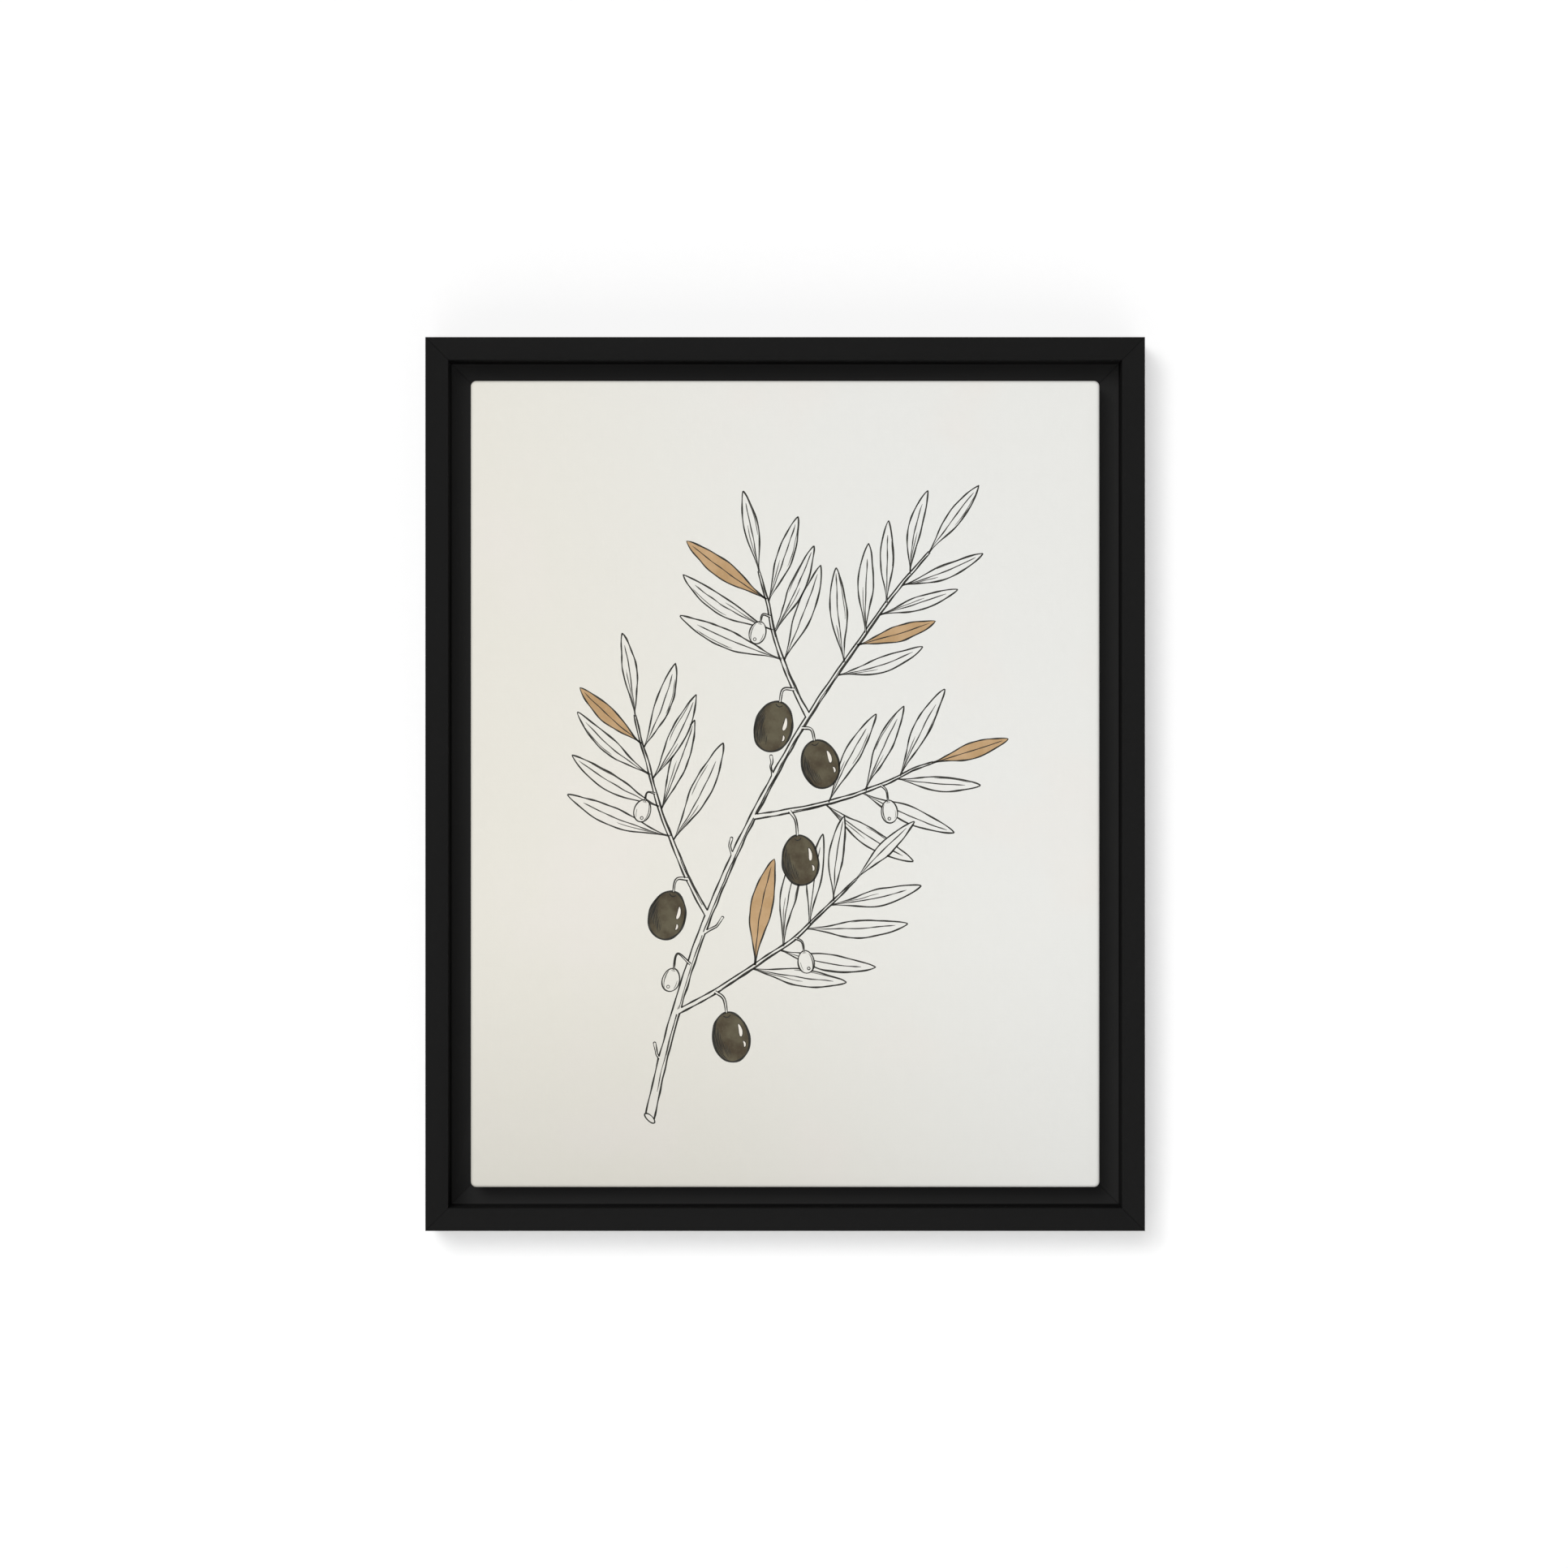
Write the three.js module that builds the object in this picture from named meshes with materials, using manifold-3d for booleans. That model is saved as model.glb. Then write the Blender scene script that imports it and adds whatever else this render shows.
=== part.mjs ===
// A picture in a floater frame: a printed cotton canvas stretched over four pine bars, set inside a
// black wooden frame with an open gap all round. The canvas is screwed on from behind, through the
// ledge of the frame's L-shaped rails. The back is open, and a sawtooth hanger carries the picture.
//
// Millimetres, +Z up, front facing -Y. The origin is the middle notch of the hanger, where the wall's
// nail bears. Inside the picture group the origin is the centre of the frame's back plane.
import * as THREE from 'three';
import { mergeVertices } from 'three/addons/utils/BufferGeometryUtils.js';
import Module from 'manifold-3d';

const wasm = await Module();
wasm.setup();

// Driving dimensions
const frameWidth = 318;
const frameHeight = 395;
const frameDepth = 32;
const railFace = 10.2; // width of a rail's front face, which is also its wall's thickness
const railBack = 31; // width of a rail across its back, wall and ledge together
const ledgeThickness = 8;
const canvasWidth = 278.4;
const canvasHeight = 357;
const clothThickness = 0.6;
const cornerRound = 2.5; // round of the canvas's four corners, seen from the front
const edgeRound = 1.6; // round where the canvas turns over the edge of the bars
const hemWidth = 26; // cloth turned in behind the bars
const barWidth = 38;
const barThickness = 18;
const hairline = 0.1; // clearance between pieces that bear on each other

// Depths, worked out from the back plane forwards
const ledgeFront = -ledgeThickness;
const hemBack = ledgeFront - hairline;
const hemFront = hemBack - clothThickness;
const barBack = hemFront - hairline;
const barFront = barBack - barThickness;
const clothInside = barFront - hairline;
const clothFront = clothInside - clothThickness;

// Finishes
const finish = (color, roughness, metalness = 0) =>
  new THREE.MeshStandardMaterial({ color, roughness, metalness });
const blackPaint = finish(0x1f1f1f, 0.55);
const printedCloth = finish(0xe6e4dd, 0.85);
const pine = finish(0xd9b98a, 0.7);
const beech = finish(0xc9a06c, 0.6);
const zinc = finish(0xb9bbbd, 0.35, 1);
const brassPlate = finish(0xb89656, 0.35, 1);
const rubber = finish(0x2b2b2b, 0.8);

// ---- Shaping helpers ----

// A closed geometry as a solid that can be cut.
function solidOf(geometry) {
  const bare = geometry.clone();
  bare.deleteAttribute('normal');
  bare.deleteAttribute('uv');
  const merged = mergeVertices(bare, 1e-4);
  return new wasm.Manifold(new wasm.Mesh({
    numProp: 3,
    vertProperties: merged.attributes.position.array,
    triVerts: new Uint32Array(merged.index.array),
  }));
}

function geometryOf(solid) {
  const mesh = solid.getMesh();
  const geometry = new THREE.BufferGeometry();
  geometry.setAttribute('position', new THREE.BufferAttribute(mesh.vertProperties, 3));
  geometry.setIndex(new THREE.BufferAttribute(mesh.triVerts, 1));
  return geometry;
}

// The geometry with each cutter taken out of it.
function cut(geometry, cutters) {
  const left = cutters.reduce((solid, cutter) => solid.subtract(solidOf(cutter)), solidOf(geometry));
  return geometryOf(left);
}

// A closed outline through [x, y, radius] corners, each eased by its radius.
function outline(corners) {
  const shape = new THREE.Shape();
  corners.forEach(([x, y, radius = 0], i) => {
    const corner = new THREE.Vector2(x, y);
    const before = new THREE.Vector2(...corners.at(i - 1).slice(0, 2));
    const after = new THREE.Vector2(...corners[(i + 1) % corners.length].slice(0, 2));
    const enter = before.sub(corner).setLength(radius).add(corner);
    const leave = after.sub(corner).setLength(radius).add(corner);
    if (i === 0) shape.moveTo(enter.x, enter.y);
    else shape.lineTo(enter.x, enter.y);
    if (radius > 0) shape.quadraticCurveTo(x, y, leave.x, leave.y);
  });
  return shape;
}

// An outline of depth and outward distance, carried along X and centred there.
function alongX(shape, length) {
  const geometry = new THREE.ExtrudeGeometry(shape, {
    depth: length, steps: 1, bevelEnabled: false, curveSegments: 3,
  });
  const across = new THREE.Matrix4().makeBasis(
    new THREE.Vector3(0, 1, 0), new THREE.Vector3(0, 0, 1), new THREE.Vector3(1, 0, 0),
  );
  return geometry.applyMatrix4(across).translate(-length / 2, 0, 0);
}

// An outline of X and Z, carried towards the front from the depth called back.
function forwards(shape, back, depth) {
  return new THREE.ExtrudeGeometry(shape, { depth, steps: 1, bevelEnabled: false, curveSegments: 4 })
    .rotateX(Math.PI / 2)
    .translate(0, back, 0);
}

function box(width, depth, height, x, y, z) {
  return new THREE.BoxGeometry(width, depth, height).translate(x, y, z);
}

// A solid of revolution about a line along Y, through [radius, y] points from the front to the back.
function turned(profile, sides, x = 0, z = 0) {
  return new THREE.LatheGeometry(profile.map(([r, y]) => new THREE.Vector2(r, y)), sides).translate(x, 0, z);
}

// Cuts both ends of a length of moulding to 45 degrees, so that it is longest at its outer edge.
function mitre(geometry, outerEdge) {
  const at = geometry.attributes.position;
  for (let i = 0; i < at.count; i += 1) {
    const x = at.getX(i);
    at.setX(i, x - Math.sign(x) * (outerEdge - at.getZ(i) + hairline / 2));
  }
  return geometry;
}

// A slab standing in the XZ plane, with its corners and all its edges rounded.
function roundedSlab(width, height, front, back, corner, edge) {
  const x = width / 2 - edge;
  const z = height / 2 - edge;
  const r = corner - edge;
  const shape = outline([[-x, -z, r], [x, -z, r], [x, z, r], [-x, z, r]]);
  return new THREE.ExtrudeGeometry(shape, {
    depth: back - front - 2 * edge,
    steps: 1,
    curveSegments: 3,
    bevelThickness: edge,
    bevelSize: edge,
    bevelSegments: 3,
  }).rotateX(Math.PI / 2).translate(0, back - edge, 0);
}

function piece(name, geometry, material, x = 0, y = 0, z = 0) {
  const mesh = new THREE.Mesh(geometry, material);
  mesh.name = name;
  mesh.position.set(x, y, z);
  return mesh;
}

// ---- Corner nails: folded steel driven across each mitre from behind ----

const cornerNailSpread = 3.2;
const cornerNailThickness = 0.8;
const cornerNails = [
  { fromEdge: 7, depth: 10 }, // in the rail's wall
  { fromEdge: 22, depth: 6.5 }, // in its ledge
];

// A V whose point lies on the mitre and faces the picture. Room widens it into the slot it sits in.
function cornerNail(depth, room = 0) {
  const half = cornerNailThickness * Math.SQRT1_2 + room;
  const s = cornerNailSpread + room;
  const shape = outline([[0, -half], [s, s - half], [s, s + half], [0, half], [-s, s + half], [-s, s - half]]);
  return forwards(shape, -2 * hairline + room, depth + room);
}

// Turns something made for a corner to lie on the mitre at one end of a side.
function atMitre(object, end, side, fromEdge) {
  object.rotateY(end * Math.PI / 4);
  const x = end * (side.length / 2 - fromEdge);
  if (object.isBufferGeometry) object.translate(x, 0, side.edge - fromEdge);
  else object.position.set(x, 0, side.edge - fromEdge);
  return object;
}

// ---- Screws: they hold the canvas in the frame, through the ledge into the bars ----

const screwFromEdge = 25.5; // from the frame's outer edge
const screwPlaces = [-0.3, 0.3]; // share of the side's length, from its middle
const screwHeadRadius = 3.5;
const screwHeadDepth = 2.4;
const screwShankRadius = 1.6;
const screwLength = 16;
const screwSides = 16;

function screwProfile(room) {
  const back = room > 0 ? room : -2 * hairline;
  return [
    [0, -screwLength - room],
    [screwShankRadius + room, -screwLength + 2.5],
    [screwShankRadius + room, -screwHeadDepth - 2 * hairline],
    [screwHeadRadius + room, -2 * hairline],
    [screwHeadRadius + room, back],
    [0, back],
  ].filter(([r, y], i, all) => i === 0 || r !== all[i - 1][0] || y !== all[i - 1][1]);
}

function screw() {
  const blade = { width: 4.2, thickness: 0.9, depth: 1.8 };
  const recess = [[blade.width, blade.thickness], [blade.thickness, blade.width]]
    .map(([w, h]) => box(w, 2 * blade.depth, h, 0, 0, 0));
  return cut(turned(screwProfile(0), screwSides), recess);
}

// ---- Staples: they hold the turned-in cloth on the back of the bars ----

const stapleCrown = 10;
const stapleWire = 0.6;
const stapleWireWidth = 1.2;
const stapleLeg = 7;
const stapleFromClothEdge = 18.5;

function staple() {
  const x = stapleCrown / 2;
  const shape = outline([
    [-x, 0, 0.3], [x, 0, 0.3], [x, -stapleLeg], [x - stapleWire, -stapleLeg],
    [x - stapleWire, -stapleWire], [stapleWire - x, -stapleWire], [stapleWire - x, -stapleLeg], [-x, -stapleLeg],
  ]);
  return new THREE.ExtrudeGeometry(shape, { depth: stapleWireWidth, bevelEnabled: false, curveSegments: 2 })
    .translate(0, hemBack + stapleWire + hairline / 2, -stapleWireWidth / 2);
}

// The slots that a staple's legs make, at x and z.
function stapleHoles(x, z) {
  const reach = stapleLeg + 2 * hairline;
  return [-1, 1].map((end) => box(
    stapleWire + 2 * hairline, reach, stapleWireWidth + 2 * hairline,
    x + end * (stapleCrown - stapleWire) / 2, hemBack + stapleWire - reach / 2, z,
  ));
}

// Evenly spaced places along a side, clear of the corner folds.
function staplePlaces(side) {
  const span = side.clothLength - 90;
  return Array.from({ length: side.staples }, (_, i) => (i / (side.staples - 1) - 0.5) * span);
}

// ---- Corner keys: small beech wedges driven in beside each mitre to tighten the cloth ----

const keyWidth = 10;
const keyThickness = 2.6;
const keyLength = 21;
const keyStandsOut = 5;
const keyFromCorner = 6;
const keyDepth = (barBack + barFront) / 2;

// The wedge lies along Z, its blunt end standing out of the bar's inner edge at z = 0.
function cornerKey(end) {
  const tip = keyWidth - 3.5;
  const shape = outline([
    [0, -keyStandsOut, 0.6], [keyWidth, -keyStandsOut, 0.6],
    [tip, keyLength - keyStandsOut], [0, keyLength - keyStandsOut],
  ].map(([x, z, r]) => [end * (x - keyWidth), z, r]));
  return forwards(shape, keyThickness / 2, keyThickness);
}

function keySlot(end, side) {
  const x = end * (innerCorner(side) - keyFromCorner - keyWidth / 2);
  const depth = keyLength - keyStandsOut + 2 * hairline;
  return box(
    keyWidth + 2 * hairline, keyThickness + 2 * hairline, 2 * depth,
    x, keyDepth, side.barEdge - barWidth,
  );
}

// Half the length of a bar's inner edge, between the two corners of the opening.
function innerCorner(side) {
  return side.barLength / 2 - barWidth;
}

// ---- Rails and bars: one of each on every side ----

function rail(side) {
  const wallInside = side.edge - railFace;
  const ledgeEdge = side.edge - railBack;
  const profile = outline([
    [0, side.edge, 0.5], [-frameDepth, side.edge, 0.6], [-frameDepth, wallInside, 0.5],
    [ledgeFront, wallInside], [ledgeFront, ledgeEdge, 0.5], [0, ledgeEdge, 0.5],
  ]);
  const slots = cornerNails.flatMap(({ fromEdge, depth }) =>
    [-1, 1].map((end) => atMitre(cornerNail(depth, 2 * hairline), end, side, fromEdge)));
  const holes = screwPlaces.map((share) =>
    turned(screwProfile(2 * hairline), screwSides, share * side.length, side.edge - screwFromEdge));
  return cut(mitre(alongX(profile, side.length), side.edge), [...slots, ...holes, ...side.railHoles]);
}

// The front slopes away from a raised outer bead, so that only the bead touches the cloth.
function bar(side) {
  const beadWidth = 6;
  const slope = 1.6;
  const inner = side.barEdge - barWidth;
  const profile = outline([
    [barBack, side.barEdge], [barFront, side.barEdge], [barFront, side.barEdge - beadWidth],
    [barFront + slope, inner, 0.8], [barBack, inner, 0.8],
  ]);
  const allBars = roundedSlab(
    side.barLength, 2 * side.barEdge, barFront, barBack, cornerRound - clothThickness, edgeRound - clothThickness,
  );
  const shaped = solidOf(mitre(alongX(profile, side.barLength), side.barEdge)).intersect(solidOf(allBars));
  const holes = screwPlaces.map((share) =>
    turned(screwProfile(2 * hairline), screwSides, share * side.length, side.edge - screwFromEdge));
  const stapled = staplePlaces(side).flatMap((x) => stapleHoles(x, side.clothEdge - stapleFromClothEdge));
  return cut(geometryOf(shaped), [...holes, ...stapled, keySlot(-1, side), keySlot(1, side)]);
}

// ---- Canvas: one sheet over the front, down the sides and turned in behind ----

function canvas(sides) {
  const outside = roundedSlab(canvasWidth, canvasHeight, clothFront, hemBack, cornerRound, edgeRound);
  const t = clothThickness;
  const inside = roundedSlab(
    canvasWidth - 2 * t, canvasHeight - 2 * t, clothInside, hemFront, cornerRound - t, edgeRound - t,
  );
  const open = box(
    canvasWidth - 2 * hemWidth, 2 * t, canvasHeight - 2 * hemWidth, 0, hemBack, 0,
  );
  const pierced = sides.flatMap((side) => [
    ...screwPlaces.map((share) =>
      turned(screwProfile(2 * hairline), screwSides, share * side.length, side.edge - screwFromEdge)),
    ...staplePlaces(side).flatMap((x) => stapleHoles(x, side.clothEdge - stapleFromClothEdge)),
  ].map((hole) => hole.rotateY(side.turn)));
  return cut(outside, [inside, open, ...pierced]);
}

// ---- Hanger: a toothed steel strip standing off the top rail, held by two brads ----

const hangerLength = 46;
const hangerHeight = 10;
const hangerSteel = 0.8;
const hangerStandsOff = 1.6;
const hangerFromTop = 15.5; // from the frame's top edge to the strip's middle
const toothPitch = 3.2;
const toothDepth = 2;
const toothCount = 7;
const bradFromMiddle = 19.5;
const bradHeadRadius = 2.2;
const bradShankRadius = 0.8;
const bradLength = 6;

const hangerMiddle = frameHeight / 2 - hangerFromTop;
const notchHeight = hangerMiddle - hangerHeight / 2 + toothDepth;
const notchDepth = hairline / 2 + hangerStandsOff + hangerSteel / 2;

function hanger() {
  const foot = hairline / 2;
  const bridge = foot + hangerStandsOff;
  const [end, bend, top] = [hangerLength / 2, 16, 13.6];
  const under = [[-end, foot], [-bend, foot], [-top, bridge], [top, bridge], [bend, foot], [end, foot]];
  const over = under.map(([x, y]) => [x + Math.sign(x) * (Math.abs(x) < end ? 0.3 : 0), y + hangerSteel]);
  const strip = new THREE.ExtrudeGeometry(outline([...under, ...over.reverse()]), {
    depth: hangerHeight, bevelEnabled: false,
  }).translate(0, 0, -hangerHeight / 2);
  const root = toothDepth - hangerHeight / 2;
  const notches = Array.from({ length: toothCount }, (_, i) => {
    const x = (i - (toothCount - 1) / 2) * toothPitch;
    const mouth = root - toothDepth - hairline;
    return forwards(outline([[x - 1.4, mouth], [x + 1.4, mouth], [x + 0.8, root], [x - 0.8, root]]), 4, 4 - foot);
  });
  const holes = [-1, 1].map((side) =>
    new THREE.CylinderGeometry(bradShankRadius + 0.2, bradShankRadius + 0.2, 6, 12)
      .translate(side * bradFromMiddle, 0, 0));
  return cut(strip, [...notches, ...holes]);
}

function bradProfile(room) {
  const seat = hairline + hangerSteel;
  return [
    [0, -bradLength - room],
    [bradShankRadius + room, -bradLength + 1.2],
    [bradShankRadius + room, seat],
    [bradHeadRadius + room, seat],
    [bradHeadRadius + room, seat + 0.5],
    [bradHeadRadius - 0.6, seat + 0.8],
    [0, seat + 0.8],
  ];
}

// ---- Wall pads: rubber discs that keep the frame off the wall ----

const padRadius = 5;
const padThickness = 3;
const padFromEnd = 26;
const padFromEdge = 9;

function wallPad() {
  return turned([
    [0, hairline / 2],
    [padRadius, hairline / 2],
    [padRadius, padThickness - 1],
    [padRadius - 0.3, padThickness - 0.3],
    [padRadius - 1, padThickness],
    [0, padThickness],
  ], 24);
}

// ---- The four sides ----

// Each side is made as if it were the top one and then turned round the picture's centre.
function sideOf(name, turn, length, across, clothLength, clothAcross, staples) {
  const inset = clothThickness + hairline;
  return {
    name,
    turn,
    length, // of the rail
    edge: across / 2, // from the centre to the rail's outer edge
    clothLength,
    clothEdge: clothAcross / 2,
    barLength: clothLength - 2 * inset,
    barEdge: clothAcross / 2 - inset,
    staples,
    railHoles: [],
  };
}

const top = sideOf('top', 0, frameWidth, frameHeight, canvasWidth, canvasHeight, 4);
const bottom = sideOf('bottom', Math.PI, frameWidth, frameHeight, canvasWidth, canvasHeight, 4);
const right = sideOf('right', Math.PI / 2, frameHeight, frameWidth, canvasHeight, canvasWidth, 5);
const left = sideOf('left', -Math.PI / 2, frameHeight, frameWidth, canvasHeight, canvasWidth, 5);
const sides = [top, bottom, left, right];

top.railHoles = [-1, 1].map((end) =>
  turned(bradProfile(2 * hairline), 12, end * bradFromMiddle, hangerMiddle));

function assembleSide(side) {
  const group = new THREE.Group();
  group.rotation.y = side.turn;
  group.add(piece(`frame_rail_${side.name}`, rail(side), blackPaint));
  group.add(piece(`stretcher_bar_${side.name}`, bar(side), pine));
  screwPlaces.forEach((share, i) => {
    const name = `canvas_screw_${side.name}_${i + 1}`;
    group.add(piece(name, screw(), zinc, share * side.length, 0, side.edge - screwFromEdge));
  });
  staplePlaces(side).forEach((x, i) => {
    const name = `staple_${side.name}_${i + 1}`;
    group.add(piece(name, staple(), zinc, x, 0, side.clothEdge - stapleFromClothEdge));
  });
  [-1, 1].forEach((end, i) => {
    const x = end * (innerCorner(side) - keyFromCorner);
    const name = `corner_key_${side.name}_${i + 1}`;
    group.add(piece(name, cornerKey(end), beech, x, keyDepth, side.barEdge - barWidth));
  });
  return group;
}

// The top and bottom sides also carry the corner nails and the wall pads.
function addCornerFittings(group, side) {
  [-1, 1].forEach((end, i) => {
    cornerNails.forEach(({ fromEdge, depth }, layer) => {
      const name = `corner_nail_${side.name}_${i + 1}_${layer === 0 ? 'wall' : 'ledge'}`;
      group.add(atMitre(piece(name, cornerNail(depth), zinc), end, side, fromEdge));
    });
    const x = end * (side.length / 2 - padFromEnd);
    group.add(piece(`wall_pad_${side.name}_${i + 1}`, wallPad(), rubber, x, 0, side.edge - padFromEdge));
  });
}

const picture = new THREE.Group();
picture.position.set(0, -notchDepth, -notchHeight);
for (const side of sides) {
  const group = assembleSide(side);
  if (side === top || side === bottom) addCornerFittings(group, side);
  picture.add(group);
}
picture.add(piece('canvas', canvas(sides), printedCloth));
picture.add(piece('sawtooth_hanger', hanger(), brassPlate, 0, 0, hangerMiddle));
[-1, 1].forEach((end, i) => {
  const brad = turned(bradProfile(0), 12);
  picture.add(piece(`hanger_brad_${i + 1}`, brad, brassPlate, end * bradFromMiddle, 0, hangerMiddle));
});

const framedPicture = new THREE.Group();
framedPicture.add(picture);

export default framedPicture;
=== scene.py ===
"""The looks of a framed canvas print, put together round its CAD frame.

Everything is in metres in the CAD's own frame, unless a name or comment says millimetres. X is to the right,
Z is up, and the picture faces -Y. The drawing is in millimetres, right and up from the cloth's centre.
"""
import math

import bmesh
import bpy
import numpy as np
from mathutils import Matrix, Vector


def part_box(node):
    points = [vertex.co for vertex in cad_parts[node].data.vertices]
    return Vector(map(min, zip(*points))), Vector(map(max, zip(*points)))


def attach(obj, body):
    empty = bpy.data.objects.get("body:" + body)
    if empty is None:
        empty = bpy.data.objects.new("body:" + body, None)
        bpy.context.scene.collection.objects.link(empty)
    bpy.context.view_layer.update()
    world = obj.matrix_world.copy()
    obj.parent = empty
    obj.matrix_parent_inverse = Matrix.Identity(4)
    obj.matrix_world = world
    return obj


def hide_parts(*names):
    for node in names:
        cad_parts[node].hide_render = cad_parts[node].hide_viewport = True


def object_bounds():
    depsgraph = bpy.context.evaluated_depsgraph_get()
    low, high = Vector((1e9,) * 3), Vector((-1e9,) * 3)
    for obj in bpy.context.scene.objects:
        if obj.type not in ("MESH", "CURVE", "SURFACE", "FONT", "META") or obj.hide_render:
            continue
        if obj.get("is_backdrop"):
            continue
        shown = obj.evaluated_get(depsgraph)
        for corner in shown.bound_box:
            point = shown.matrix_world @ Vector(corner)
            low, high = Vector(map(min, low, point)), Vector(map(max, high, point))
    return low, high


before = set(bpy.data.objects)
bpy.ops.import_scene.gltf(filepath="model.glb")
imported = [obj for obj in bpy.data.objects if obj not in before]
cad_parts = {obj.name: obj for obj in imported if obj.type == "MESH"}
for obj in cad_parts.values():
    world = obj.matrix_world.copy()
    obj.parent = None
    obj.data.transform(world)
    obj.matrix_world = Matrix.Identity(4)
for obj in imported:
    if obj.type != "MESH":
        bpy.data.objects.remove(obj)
cad_low, cad_high = (np.array(corner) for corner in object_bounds())
MM = 0.001
rng = np.random.default_rng(11)

# ---- View: straight on, from far enough back that the frame's inner walls barely show ----
# A long lens on a camera level with the middle of the picture. Its width of view is set at the front of the
# frame, which fills a little under half of it.

STAND_BACK = 2.55
VIEW_WIDTH = 0.6927
SENSOR = 36.0
AIM_LEFT = 0.5 * MM  # how far the camera stands to the left of the picture's middle

middle = (cad_low + cad_high) / 2
camera_data = bpy.data.cameras.new("camera")
camera_data.sensor_width = SENSOR
camera_data.lens = SENSOR * STAND_BACK / VIEW_WIDTH
camera = bpy.data.objects.new("camera", camera_data)
camera.location = (middle[0] - AIM_LEFT, cad_low[1] - STAND_BACK, middle[2])
camera.rotation_euler = (math.pi / 2, 0, 0)
bpy.context.scene.collection.objects.link(camera)
bpy.context.scene.camera = camera
bpy.context.scene.view_settings.view_transform = "Standard"


# ---- Light: a key from the upper left, a fill from the front, and soft light from all round ----
# The key throws the frame's soft shadow down and to the right on the wall. One more lamp, behind the picture,
# lights its back, and the wall lets that through. The sky gives little light, though it looks pale.

SKY_LIGHT, SKY_LOOK = 0.10, 0.85


def lamp(name, strength, spread, towards):
    """A distant lamp whose light travels along a vector. Spread is its angular size in degrees.

    A lamp shines along its -Z axis, so it is tilted up from straight down and then turned to the heading."""
    data = bpy.data.lights.new(name, "SUN")
    data.energy = strength
    data.angle = math.radians(spread)
    made = bpy.data.objects.new(name, data)
    x, y, z = towards
    made.rotation_euler = (math.acos(-z / math.sqrt(x * x + y * y + z * z)), 0, math.atan2(x, -y) + math.pi)
    bpy.context.scene.collection.objects.link(made)


lamp("key_light", 1.35, 25, (0.2, 1, -0.26))
lamp("side_fill", 0.3, 14, (0.36, 1, -0.33))
lamp("front_fill", 0.95, 1, (0, 1, 0.0001))
lamp("back_light", 1.5, 25, (-0.5, -1, -0.3))

sky = bpy.data.worlds.new("studio")
sky.use_nodes = True
sky.node_tree.nodes["Background"].inputs["Color"].default_value = (1, 1, 1, 1)
brightness = sky.node_tree.nodes.new("ShaderNodeMapRange")
brightness.inputs["To Min"].default_value = SKY_LIGHT
brightness.inputs["To Max"].default_value = SKY_LOOK
seen = sky.node_tree.nodes.new("ShaderNodeLightPath")
sky.node_tree.links.new(seen.outputs["Is Camera Ray"], brightness.inputs["Value"])
sky.node_tree.links.new(brightness.outputs["Result"], sky.node_tree.nodes["Background"].inputs["Strength"])
bpy.context.scene.world = sky


# ---- Wall and floor: the plain white room, which isn't part of the object ----
# The wall stands where the rubber pads touch it, and has one side only, so the picture's back can be seen.

class Wire:
    """A value in a material. Arithmetic with numbers and other values adds Math nodes to the material."""

    def __init__(self, finish, socket):
        self.finish = finish
        self.socket = socket

    def math(self, operation, *others):
        values = dict(enumerate((self, *others)))
        return self.finish.add("ShaderNodeMath", {"operation": operation}, values)

    def __add__(self, other):
        return self.math("ADD", other)

    def __sub__(self, other):
        return self.math("SUBTRACT", other)

    def __rsub__(self, other):
        return self * -1 + other

    def __mul__(self, other):
        return self.math("MULTIPLY", other)

    def __pow__(self, other):
        return self.math("POWER", other)

    __radd__ = __add__
    __rmul__ = __mul__

    def sine(self):
        return self.math("SINE")

    def size(self):
        return self.math("ABSOLUTE")

    def smooth(self, low, high):
        """0 below low and 1 above high, with an S-shaped slope between. Low may be the greater."""
        settings = {"interpolation_type": "SMOOTHSTEP"}
        values = {"Value": self, "From Min": low, "From Max": high}
        return self.finish.add("ShaderNodeMapRange", settings, values)


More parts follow.
